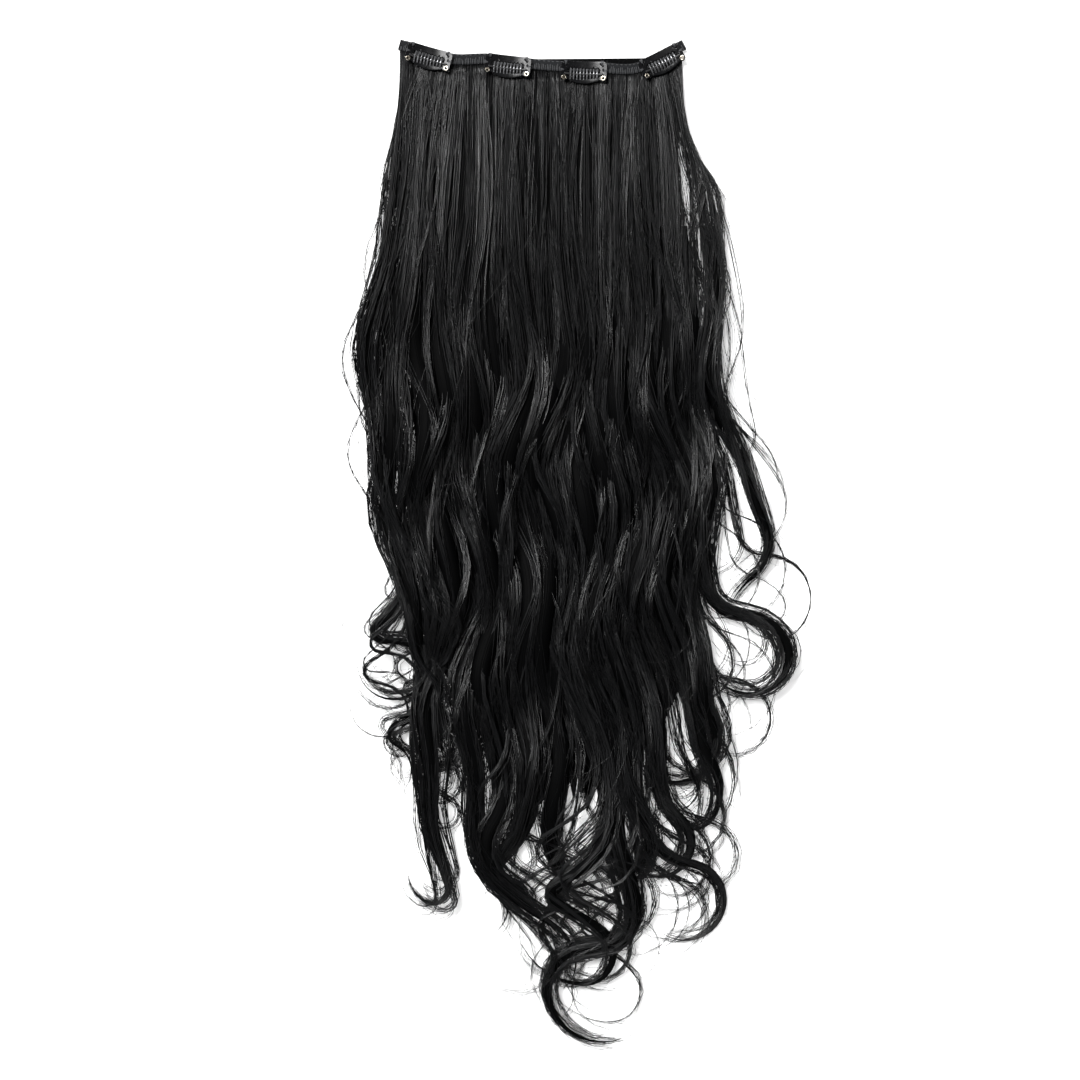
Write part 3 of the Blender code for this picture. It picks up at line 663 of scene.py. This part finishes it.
def buildStrands():
    rng = np.random.default_rng(11)
    groups = [[] for _ in range(6)]

    def bundle(batch, lock, count, loose, stray, spread, scale):  # strands with one tone and scale
        lines = straySome(rng, lock, count, hair["stations"], loose, stray, spread)
        batch.append((lines, np.full(count, rng.uniform(0, 1)), np.full(count, scale)))

    for index, lock in enumerate(locks):
        batch = groups[index * len(groups) // len(locks)]
        for _ in range(max(6, round(hair["wisps"] * (0.32 + 0.62 * lock[4])))):
            loose = rng.choice((0.3, 0.7, 1.5), p=(0.55, 0.3, 0.15))
            stray = int(rng.uniform() < 0.15)
            bundle(batch, lock, hair["strands"], loose + 0.6 * stray, stray, 1, 1.0)
        if index + 1 < len(locks):
            for pick in range(hair["between"]):
                fill = blended(lock, locks[index + 1], rng.uniform(0.3, 0.7), pick)
                bundle(batch, fill, hair["strands"], rng.choice((0.6, 1.2)), 0, 1, 1.0)
        for _ in range(hair["satellites"]):
            spread = rng.uniform(0.15, 0.4)
            stray = int(rng.uniform() < 0.4)
            bundle(batch, lock, 6, rng.uniform(1.8, 3.2), stray, spread, 0.8)
    pieces = []
    for number, batch in enumerate(groups, 1):
        lines, tones, scales = (np.concatenate(column) for column in zip(*batch))
        tone = np.clip(tones * 0.6 + rng.uniform(0, 0.4, len(lines)), 0, 1)
        radii = strandRadii(rng, lines, scales[:, None])
        pieces.append(strandPiece("hair_strands_%d" % number, lines, radii, tone))
        print("strands", number, len(lines), "triangles", len(pieces[-1].data.polygons))
    return pieces


core = {
    "rings": 60,
    "sides": 160,
    "end": 0.755,  # the drop where it ends
    "ragged": 0.030,  # how far its lower end is drawn up, on average
}


def buildCore():
    # the dark body under the strands, the dense hair inside and painted deep shade between the strands:
    # a closed sleeve with a ring at each drop, x = mid + half C, z = mid + high S, with C and S the cosine
    # and sine of the ring made fuller
    end = core["end"]
    drops = np.linspace(0.002, end, core["rings"])
    inset = 3 * mm + 26 * mm * smoothStep(drops, 0.60, end)
    left = np.interp(drops, backing[:, 0], backing[:, 1]) * weftHalf + inset
    right = np.interp(drops, backing[:, 0], backing[:, 2]) * weftHalf - inset
    ring = ringAngles(core["sides"])
    flat = fuller(np.cos(ring), 0.6)
    lift = fuller(np.sin(ring), 0.8)
    x = ((left + right) / 2)[:, None] + ((right - left) / 2)[:, None] * flat[None, :]
    top = hairTop(drops) * np.interp(drops, (0, 0.03, 0.6, end), (0.75, 0.72, 0.5, 0.2))
    low = np.minimum(0.3 * hairTop(drops), 2.6 * mm)
    high = np.maximum(top, low + 0.8 * mm)
    z = ((low + high) / 2)[:, None] + ((high - low) / 2)[:, None] * lift[None, :]
    ragged = core["ragged"] + 0.030 * np.sin(23 * flat + 1.0) + 0.022 * np.sin(51 * flat)
    ragged = smoothStep(drops, 0.50, end)[:, None] * ragged[None, :]
    y = fallLine(x, drops[:, None] - 0.10 * drops[:, None] ** 4 * flat[None, :] ** 2 - ragged)
    quads = gridQuads(*x.shape)[:, (0, 3, 2, 1)]
    made = meshPiece("hair_core_shade", pointRows(x, y, z), quads, coreShadePaint, pointRows(flat, drops[:, None]))
    closeEnds(made, *x.shape)
    return made


def buildInsides():
    # the dense inside of each lock, in the core's near-black painted shade: an oval tube on its path, 0.62
    # of its width
    # and height: p + n 0.62 W cos a + z 0.62 H sin a, thinner at both ends
    parts = []
    stations = 60
    sides = 10
    start = 0.16
    angle = ringAngles(sides)
    for lock in locks:
        line, share, curlStart = lockPath(lock[1], lock[2], lock[3], lock[6], start)
        line, share = resample(line, share, 12, stations)
        share = start + (1 - start) * share
        side = across(line)
        halfWide, middle, halfHigh = lockShape(lock, line, share, start + (1 - start) * curlStart, 0.0)
        thin = 0.62 * np.interp(share, (start, 0.3, 0.9, 1), (0.3, 1, 0.9, 0.3))
        sideways = (halfWide * thin)[:, None] * np.cos(angle)[None, :]
        x = line[:, :1] + side[:, :1] * sideways
        y = line[:, 1:] + side[:, 1:] * sideways
        z = middle[:, None] + (halfHigh * thin)[:, None] * np.sin(angle)[None, :]
        parts.append((pointRows(x, y, np.maximum(z, 0.9 * mm)), gridQuads(stations, sides)))
    points, quads = joined(parts)
    uv = pointRows(np.abs(np.linspace(-0.1, 0.1, sides)), np.linspace(0, 0.8, stations)[:, None])
    made = meshPiece("hair_insides", points, quads, coreShadePaint, np.tile(uv, (len(parts), 1)))
    closeEnds(made, stations, sides, len(parts))
    return made


def closeEnds(piece, rows, sides, count=1):
    # caps both ends of each tube of rings with one face and turns all faces outward
    bm = bmesh.new()
    bm.from_mesh(piece.data)
    bm.verts.ensure_lookup_table()
    for n in range(count):
        for ring in (n * rows, (n + 1) * rows - 1):
            bm.faces.new(bm.verts[ring * sides:(ring + 1) * sides])
    bmesh.ops.recalc_face_normals(bm, faces=bm.faces)
    bm.to_mesh(piece.data)
    bm.free()


flyaways = {"count": 340, "stations": 26, "scale": 0.5}  # scale is of a strand's thickness


def buildFlyaways():
    # single fine hairs that leave the locks, more of them at the sides
    rng = np.random.default_rng(23)
    weights = np.array([1.0 + 1.6 * abs(lock[1]) for lock in locks])
    lines = []
    for pick in rng.choice(len(locks), flyaways["count"], p=weights / weights.sum()):
        loose = rng.uniform(2.2, 4.6)
        stray = int(rng.uniform() < 0.5)
        lines.append(straySome(rng, locks[pick], 1, flyaways["stations"], loose, stray, 1))
    lines = np.concatenate(lines)
    radii = strandRadii(rng, lines, flyaways["scale"])
    made = strandPiece("hair_flyaways", lines, radii, rng.uniform(0.2, 1, len(lines)))
    print("flyaways", len(lines))
    return made


fuzz = {"count": 90, "stations": 8}


def buildFuzz():
    # short hairs that stand out of the band's top edge
    rng = np.random.default_rng(5)
    count = fuzz["count"]
    spots = rng.uniform(0.01, 0.99, count) * (len(band) - 1)
    index = np.arange(len(band))
    root = readLine(band, index, spots)
    out = readLine(bandAcross, index, spots)
    t = np.linspace(0, 1, fuzz["stations"])[None, :, None]
    length = rng.uniform(1.0, 5.0, (count, 1, 1)) * mm
    lean = rng.normal(0, 0.6, (count, 1, 1))
    edge = root + out * (bandHeight / 2 - 0.4 * mm)
    plan = edge[:, None, :] + out[:, None, :] * t * length
    plan = plan + np.stack((out[:, 1], -out[:, 0]), axis=1)[:, None, :] * lean * t**2 * length
    height = rng.uniform(0.8, 3.4, (count, 1)) * mm
    height = height + rng.normal(0, 0.8, (count, 1)) * mm * t[:, :, 0] ** 2
    lines = np.concatenate((plan, np.maximum(height, 0.3 * mm)[:, :, None]), axis=2)
    radii = np.linspace(0.08, 0.03, fuzz["stations"])[None, :] * mm * np.ones((count, 1))
    return strandPiece("hair_fuzz", lines, radii, rng.uniform(0, 1, count))


hairPieces = buildStrands()
hairPieces += [buildCore(), buildInsides(), buildFlyaways(), buildFuzz()]
for piece in hairPieces:
    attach(piece, "weft")
    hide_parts("hair_fall")
print("hair", len(hairPieces), "pieces")


cloth = {
    "perPiece": 26,  # rings between two knots of the band's line
    "sides": 44,
    "ridge": 0.16 * mm,
    "pucker": 0.07 * mm,
    "puckerLength": 2.6 * mm,
}


def buildBand():
    # the folded strip: at each point along, a ring of half width a and half height b,
    # a = sgn(cos) |cos|^0.35 * height/2, b likewise, with three soft ridges and a stitch pucker
    line = bandLine(cloth["perPiece"])
    square = across(line)
    run = runOf(line)
    angle = ringAngles(cloth["sides"], 0.5)
    wide = fuller(np.cos(angle), 0.35)
    high = fuller(np.sin(angle), 0.35)
    ridge = cloth["ridge"] * np.cos(3 * np.pi * wide) * np.abs(high) ** 3
    waves = np.sin(2 * np.pi * run / cloth["puckerLength"])
    pucker = cloth["pucker"] * waves[:, None] * np.abs(high)[None, :]
    a = (bandHeight / 2 * wide)[None, :]
    z = bandThickness / 2 + (bandThickness / 2 - 0.2 * mm) * high[None, :]
    z = z + (ridge[None, :] + pucker) * np.sign(high)[None, :]
    points = pointRows(line[:, :1] + a * square[:, :1], line[:, 1:] + a * square[:, 1:], z)
    uv = pointRows(run[:, None] / 0.2, np.arange(cloth["sides"]) / cloth["sides"])
    made = meshPiece("weft_band_cloth", points, gridQuads(*z.shape), fabricPaint, uv)
    closeEnds(made, *z.shape)
    return made


stitches = {
    "pitch": 1.25 * mm,  # from one binding stitch to the next
    "radius": 0.15 * mm,
    "sides": 6,
    "runPitch": 3.2 * mm,  # from one running stitch to the next
    "runLength": 1.9 * mm,
}


def buildStitches():
    # binding stitches that come out of the band's face, run down it and turn round its lower
    # edge, and a row of short running stitches near the top edge
    rng = np.random.default_rng(3)
    run = runOf(band)
    t = np.linspace(0, 1, 9)[None, :]
    face = bandThickness - 0.2 * mm
    count = int(run[-1] / stitches["pitch"]) - 1
    start = ((np.arange(count) + 0.9) * stitches["pitch"] + rng.normal(0, 0.12 * mm, count))[:, None]
    high = rng.uniform(-0.9, 1.7, (count, 1)) * mm
    low = -bandHeight / 2 - 0.10 * mm
    off = high + (low - high) * np.minimum(t / 0.8, 1)
    z = face + 0.14 * mm * np.sin(np.pi * np.minimum(t / 0.85, 1)) ** 0.4
    z = z - 0.5 * mm * (t < 0.01) - 1.3 * mm * np.maximum(t - 0.86, 0) / 0.14
    along = start + rng.normal(0, 0.25 * mm, (count, 1)) * t
    rows = [(along, off, z)]
    count = int(run[-1] / stitches["runPitch"]) - 1
    start = ((np.arange(count) + 0.7) * stitches["runPitch"] + rng.normal(0, 0.1 * mm, count))[:, None]
    along = start + t * stitches["runLength"]
    off = 2.55 * mm + rng.normal(0, 0.10 * mm, (count, 1))
    rows.append((along, off, face - 0.35 * mm + 0.5 * mm * np.sin(np.pi * t) ** 0.4))
    parts = []
    for along, off, z in rows:
        plan = readLine(band, run, along) + off[..., None] * readLine(bandAcross, run, along)
        lines = np.concatenate((plan, np.broadcast_to(z, along.shape)[..., None]), axis=2)
        parts.append(capped(lines, np.full(along.shape, stitches["radius"]), stitches["sides"]))
    points, quads = joined(parts)
    return meshPiece("band_stitches", points, quads, threadPaint)


# sizes of a clip, as in the part's solids
clipHalf = clipWidth / 2
sheet = 0.5 * mm
bowRadius = 45 * mm
bowFlat = 2.0 * mm
barTop = 7.5 * mm
barLow = 2.5 * mm
legWidth = 4.6 * mm
legEnd = 6.5 * mm
corner = 3.2 * mm
rivetOut = 13.9 * mm
rivetDown = 4.2 * mm
combHalf = 11.0 * mm
toothPitch = 2.3 * mm
toothCount = 9
tubeDown = 1.6 * mm
tubeRadius = 0.75 * mm
earTop = sheet + 0.3 * mm  # what the tube and the eyelets' lips lie on, with its clearance

clipLook = {
    "softRim": 0.12 * mm,  # how far the rims of the sheets are rounded
    "earRim": 0.07 * mm,
    "toothStations": 30,
    "toothSides": 16,
    "tubeSides": 18,
    "eyeletSides": 30,
    "threadRadius": 0.16 * mm,
    "threadSides": 7,
}


def bow(u):  # height of the bowed sheet at u
    return np.maximum(0, np.abs(u) - bowFlat) ** 2 / (2 * bowRadius)


def clipPlaced(points, clip):  # clip points (along, up the band, out of the sheet) into the frame
    _, along, rise, tilt = clip
    run = unit(tilt)
    side = np.array((-run[1], run[0]))
    spot = np.array((along * weftHalf, rise * bandRise)) - bandSeat * side
    plan = spot + points[:, :1] * run + points[:, 1:2] * side
    return np.concatenate((plan, points[:, 2:] + clipSeat), axis=1)


def arcPoints(u, v, radius, start, end, count):
    angle = np.radians(np.linspace(start, end, count))
    return np.stack((u + radius * np.cos(angle), v + radius * np.sin(angle)), axis=1)


def frameLoops():
    # outline of the frame, then its slots, sewing holes and rivet holes, as closed plan lines
    middle = clipHalf - legWidth / 2
    half = np.concatenate((
        arcPoints(clipHalf - corner, barTop - corner, corner, 90, 0, 12),
        arcPoints(middle, -legEnd + legWidth / 2, legWidth / 2, 0, -180, 18),
        arcPoints(clipHalf - legWidth - 1.2 * mm, barLow - 1.2 * mm, 1.2 * mm, 0, 90, 6),
    ))
    u = np.linspace(9.95, -9.95, 120) * mm
    scallop = 0.4 * mm * np.maximum(0, np.cos(np.pi * u / toothPitch * 2) * 0.5 + 0.5) ** 1.5
    edge = np.stack((u, barLow + scallop), axis=1)
    loops = [np.concatenate((half, edge, half[::-1] * (-1, 1)))]
    for side in (-1, 1):
        run = unit(side * -45)
        square = np.array((-run[1], run[0]))
        slot = np.concatenate((
            arcPoints(1.2 * mm, 0, 0.5 * mm, -90, 90, 9), arcPoints(-1.2 * mm, 0, 0.5 * mm, 90, 270, 9)
        ))
        loops.append(np.array((side * 12.4 * mm, 4.9 * mm)) + slot[:, :1] * run + slot[:, 1:] * square)
        loops.append(arcPoints(side * middle, 1.0 * mm, 0.6 * mm, 0, 345, 20))
        loops.append(arcPoints(side * rivetOut, -rivetDown, 1.0 * mm, 0, 345, 22))
    return loops


def earLoops(side):
    # the riveted ear of the comb: a disc round the rivet that reaches in to the comb's end
    disc = arcPoints(rivetOut, -rivetDown, 1.95 * mm, -128, 128, 24)
    inner = np.array(((11.35, -3.25), (11.15, -3.6), (11.15, -5.0), (11.35, -5.4))) * mm
    outline = np.concatenate((disc, inner)) * (side, 1)
    return [outline, arcPoints(side * rivetOut, -rivetDown, 0.85 * mm, 0, 345, 20)]


def pressed(loops, low, high, cuts, bevel):
    # a sheet cut to plan loops, between two heights, bowed, its rims softened; points and faces
    bm = bmesh.new()
    edges = []
    for loop in loops:
        verts = [bm.verts.new((p[0], p[1], 0)) for p in loop]
        edges += [bm.edges.new(pair) for pair in zip(verts, verts[1:] + verts[:1])]
    bmesh.ops.triangle_fill(bm, use_beauty=True, use_dissolve=False, edges=edges)
    for u in cuts:
        geom = bm.verts[:] + bm.edges[:] + bm.faces[:]
        bmesh.ops.bisect_plane(bm, geom=geom, dist=1e-7, plane_co=(u, 0, 0), plane_no=(1, 0, 0))
    made = bmesh.ops.extrude_face_region(bm, geom=bm.faces[:])
    lifted = [item for item in made["geom"] if isinstance(item, bmesh.types.BMVert)]
    bmesh.ops.translate(bm, verts=lifted, vec=(0, 0, high - low))
    bmesh.ops.translate(bm, verts=bm.verts, vec=(0, 0, low))
    bmesh.ops.recalc_face_normals(bm, faces=bm.faces)
    rims = [e for e in bm.edges if len(e.link_faces) == 2 and e.calc_face_angle(0) > 1.0]
    rims = [e for e in rims if abs(e.verts[0].co.z - e.verts[1].co.z) < 1e-7]
    bmesh.ops.bevel(bm, geom=rims, offset=bevel, segments=2, profile=0.5, affect="EDGES")
    bmesh.ops.triangulate(bm, faces=bm.faces)
    points = np.array([v.co[:] for v in bm.verts])
    faces = np.array([[v.index for v in f.verts] for f in bm.faces])
    bm.free()
    points[:, 2] += bow(points[:, 0])
    return points, faces


def turned(profile, count):
    # a closed profile of (radius, height) turned about its own axis
    angle = ringAngles(count)[:, None]
    size = len(profile)
    points = pointRows(profile[:, 0] * np.cos(angle), profile[:, 0] * np.sin(angle), profile[:, 1])
    return points, gridQuads(count + 1, size)[:, (0, 3, 2, 1)] % (count * size)


def combParts():
    # the bar: pressed to its curved edges; the teeth: flattened tubes over the arch
    u = np.linspace(-combHalf, combHalf, 60)
    share = (u / combHalf) ** 2
    low = (-8.0 + 2.6 * share) * mm
    up = (-5.2 + 2.0 * share) * mm
    loop = np.concatenate((pointRows(u, low), pointRows(u, up)[::-1]))
    barPoints, barFaces = pressed([loop], 0.0, sheet, np.linspace(-10, 10, 37) * mm, clipLook["softRim"])
    stations = clipLook["toothStations"]
    sides = clipLook["toothSides"]
    v = np.array((-6.1, -5.2, -4.3, -3.08, -1.6, 0.11, 1.45, 2.2))
    w = np.array((0.25, 0.30, 1.20, 2.44, 2.95, 2.53, 1.80, 1.25))
    t = np.linspace(0, 7, stations)
    v = curve(np.arange(8), v, t) * mm
    w = curve(np.arange(8), w, t) * mm
    off = np.stack((-np.gradient(w), np.gradient(v)), axis=1)
    off /= np.linalg.norm(off, axis=1)[:, None]
    slim = np.interp(t, (0, 5.8, 6.6, 6.9, 7), (1, 1, 0.86, 0.6, 0.25))
    thin = np.interp(t, (0, 6.6, 7), (1, 1, 0.45))
    angle = ringAngles(sides, 0.5)
    x = (fuller(np.cos(angle), 0.55) * 0.5 * mm)[None, :] * slim[:, None]
    through = (fuller(np.sin(angle), 0.7) * sheet / 2)[None, :]
    y = v[:, None] + off[:, :1] * through * thin[:, None]
    z = w[:, None] + off[:, 1:] * through * thin[:, None]
    middles = (np.arange(toothCount) - (toothCount - 1) / 2) * toothPitch
    quads = gridQuads(stations, sides)
    points, quads = joined([(pointRows(middle + x, y, z), quads) for middle in middles])
    points[:, 2] += bow(points[:, 0])
    first = len(barPoints)
    triangles = np.concatenate((quads[:, (0, 1, 2)], quads[:, (0, 2, 3)])) + first
    points = np.concatenate((barPoints, points))
    points[:, 2] += sheet * (points[:, 0] / combHalf) ** 2
    tone = (np.arange(len(points)) >= first) * 1.0  # 1 on the teeth
    toothFaces = np.concatenate((triangles, fans(toothCount, first, stations, sides)))
    return points, np.concatenate((barFaces, toothFaces[:, ::-1])), tone  # turned to face outward


def threadLines(side):
    # sewing thread: over the top edge through each slot, and round the leg through its hole
    t = np.linspace(0, 4, 13)
    lines = []
    for fan in (-0.45, 0.0, 0.45):
        spread = fan * np.array((1, 1, 1.3, 1.5, 1.5))
        u = curve(range(5), np.array((12.4, 12.5, 12.7, 12.8, 12.8)) + spread, t)
        v = curve(range(5), (4.9 - fan, 5.5 - fan, 7.0, 7.95, 7.7), t)
        w = curve(range(5), (-0.4, 0.78, 0.80, 0.2, -1.4), t)
        lines.append(np.stack((u, v, w), axis=1))
        u = curve(range(5), (13.7, 14.1, 15.6, 16.25, 16.0), t)
        v = curve(range(5), 1.0 + fan * np.array((0.4, 0.7, 1.3, 1.6, 1.6)), t)
        w = curve(range(5), (-0.4, 0.74, 0.78, 0.1, -1.2), t)
        lines.append(np.stack((u, v, w), axis=1))
    lines = np.array(lines) * mm
    lines[..., 2] += bow(lines[..., 0])
    lines[..., 0] *= side
    return lines


def gripTube():
    # rings along u on the bowed sheet, smaller over the rounded ends; points, quads, ring count
    turn = np.radians(np.linspace(0, 84, 7))
    cap = 0.5 * mm * np.sin(turn)
    u = np.concatenate((-13.0 * mm - cap[::-1], np.linspace(-12.5, 12.5, 20) * mm, 13.0 * mm + cap))
    ends = 0.33 + 0.67 * np.cos(turn)
    ends = np.concatenate((ends[::-1], np.ones(20), ends))
    line = pointRows(u, -tubeDown, earTop + tubeRadius + bow(u))
    return *tubes(line[None], tubeRadius * ends[None, :], clipLook["tubeSides"]), len(u)


def eyelet():
    # a closed profile: down the hole, out and back under the leg, up and round the rolled lip
    lip = np.radians(np.linspace(-90, 90, 7))
    high = earTop
    profile = np.concatenate((
        ((0.95 * mm, high + 0.30 * mm), (0.72 * mm, high), (0.60 * mm, -0.60 * mm), (0.7 * mm, -0.7 * mm),
         (1.24 * mm, -0.66 * mm), (1.24 * mm, -0.34 * mm), (0.7 * mm, -0.3 * mm), (0.7 * mm, high)),
        pointRows(1.52 * mm + 0.21 * mm * np.cos(lip), high + 0.20 * mm + 0.20 * mm * np.sin(lip)),
        ((1.30 * mm, high + 0.43 * mm), (1.15 * mm, high + 0.44 * mm), (1.02 * mm, high + 0.40 * mm)),
    ))
    return turned(profile, clipLook["eyeletSides"])


def atRivet(points, side):  # leaned square to the bowed sheet and moved to the left or right rivet
    lean = side * math.atan((rivetOut - bowFlat) / bowRadius)
    x, y, z = points.T
    leaned = pointRows(x * math.cos(lean) - z * math.sin(lean), y, z * math.cos(lean) + x * math.sin(lean))
    return leaned + (side * rivetOut, -rivetDown, bow(rivetOut))


def buildClips():
    plate = pressed(frameLoops(), 0.0, sheet, np.linspace(-16.2, 16.2, 49) * mm, clipLook["softRim"])
    ears = [pressed(earLoops(side), sheet, sheet + 0.26 * mm, (), clipLook["earRim"]) for side in (-1, 1)]
    platePoints, plateFaces = joined([plate] + ears)
    combPoints, combFaces, combTone = combParts()
    tubePoints, tubeQuads, tubeRings = gripTube()
    eyeletPoints, eyeletQuads = eyelet()
    threads = np.concatenate((threadLines(-1), threadLines(1)))
    radii = np.full(threads.shape[:2], clipLook["threadRadius"])
    threadPoints, threadFaces = capped(threads, radii, clipLook["threadSides"])
    for clip in clips:
        prefix = "clip_%d_" % clip[0]
        body = "comb_%d" % clip[0]
        made = meshPiece(prefix + "plate", clipPlaced(platePoints, clip), plateFaces, enamelPaint)
        dress(made, "weft", prefix + "frame")
        points = clipPlaced(combPoints, clip)
        made = meshPiece(prefix + "teeth", points, combFaces, combPaint, tone=combTone)
        dress(made, body, prefix + "comb")
        made = meshPiece(prefix + "silicone", clipPlaced(tubePoints, clip), tubeQuads, siliconePaint)
        closeEnds(made, tubeRings, clipLook["tubeSides"])
        dress(made, "weft", prefix + "grip_tube")
        for name, side in (("rivet_left", -1), ("rivet_right", 1)):
            points = clipPlaced(atRivet(eyeletPoints, side), clip)
            made = meshPiece(prefix + name + "_eyelet", points, eyeletQuads, rivetPaint)
            dress(made, "weft", prefix + name)
        made = meshPiece(prefix + "thread", clipPlaced(threadPoints, clip), threadFaces, threadPaint)
        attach(made, "weft")
    print("clips", len(clips), "frame triangles", len(plateFaces), "comb triangles", len(combFaces))


def dress(piece, body, node):  # evens the shading, rides on the body, stands for the node
    weigh = piece.modifiers.new("even normals", "WEIGHTED_NORMAL")
    weigh.weight = 80
    weigh.keep_sharp = True
    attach(piece, body)
    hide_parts(node)


for piece in (buildBand(), buildStitches()):
    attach(piece, "weft")
    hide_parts("weft_band")
print("band and stitches")
buildClips()


floorSize = (6.0, 6.0, 0.6 * mm)  # half its width, half its length, and how far down it lies


def buildFloor():
    corners = np.array(((-1, -1, -1), (1, -1, -1), (1, 1, -1), (-1, 1, -1))) * floorSize
    made = meshPiece("floor", corners, np.array(((0, 1, 2, 3),)), floorPaint)


buildFloor()

lights = {  # degrees round from +X, degrees above the floor, spread in degrees, strength
    "key": (132, 56, 30, 5.4),
    "fill": (-58, 60, 26, 0.35),
    "back": (-98, 26, 44, 0.9),
}


def softSun(name, azimuth, elevation, spread, strength):  # a far, wide lamp
    light = bpy.data.lights.new(name, "SUN")
    light.angle = math.radians(spread)
    light.energy = strength
    made = bpy.data.objects.new(name, light)
    made.rotation_euler = (0, math.radians(90 - elevation), math.radians(azimuth))
    bpy.context.scene.collection.objects.link(made)


for name, values in lights.items():
    softSun(name, *values)

world = bpy.data.worlds.new("studio")
world.use_nodes = True
world.node_tree.nodes["Background"].inputs[0].default_value = (1, 1, 1, 1)
world.node_tree.nodes["Background"].inputs[1].default_value = 0.022
bpy.context.scene.world = world
bpy.context.scene.view_settings.view_transform = "Standard"

cameraHeight = 1.8
frameWidth = 0.756  # what the picture shows from side to side, in metres
lens = bpy.data.cameras.new("camera")
lens.lens = 36 * cameraHeight / frameWidth
lens.sensor_width = 36
camera = bpy.data.objects.new("camera", lens)
camera.location = (-0.0007, -0.3324, cameraHeight)
bpy.context.scene.collection.objects.link(camera)
bpy.context.scene.camera = camera
print("floor, lights and camera")
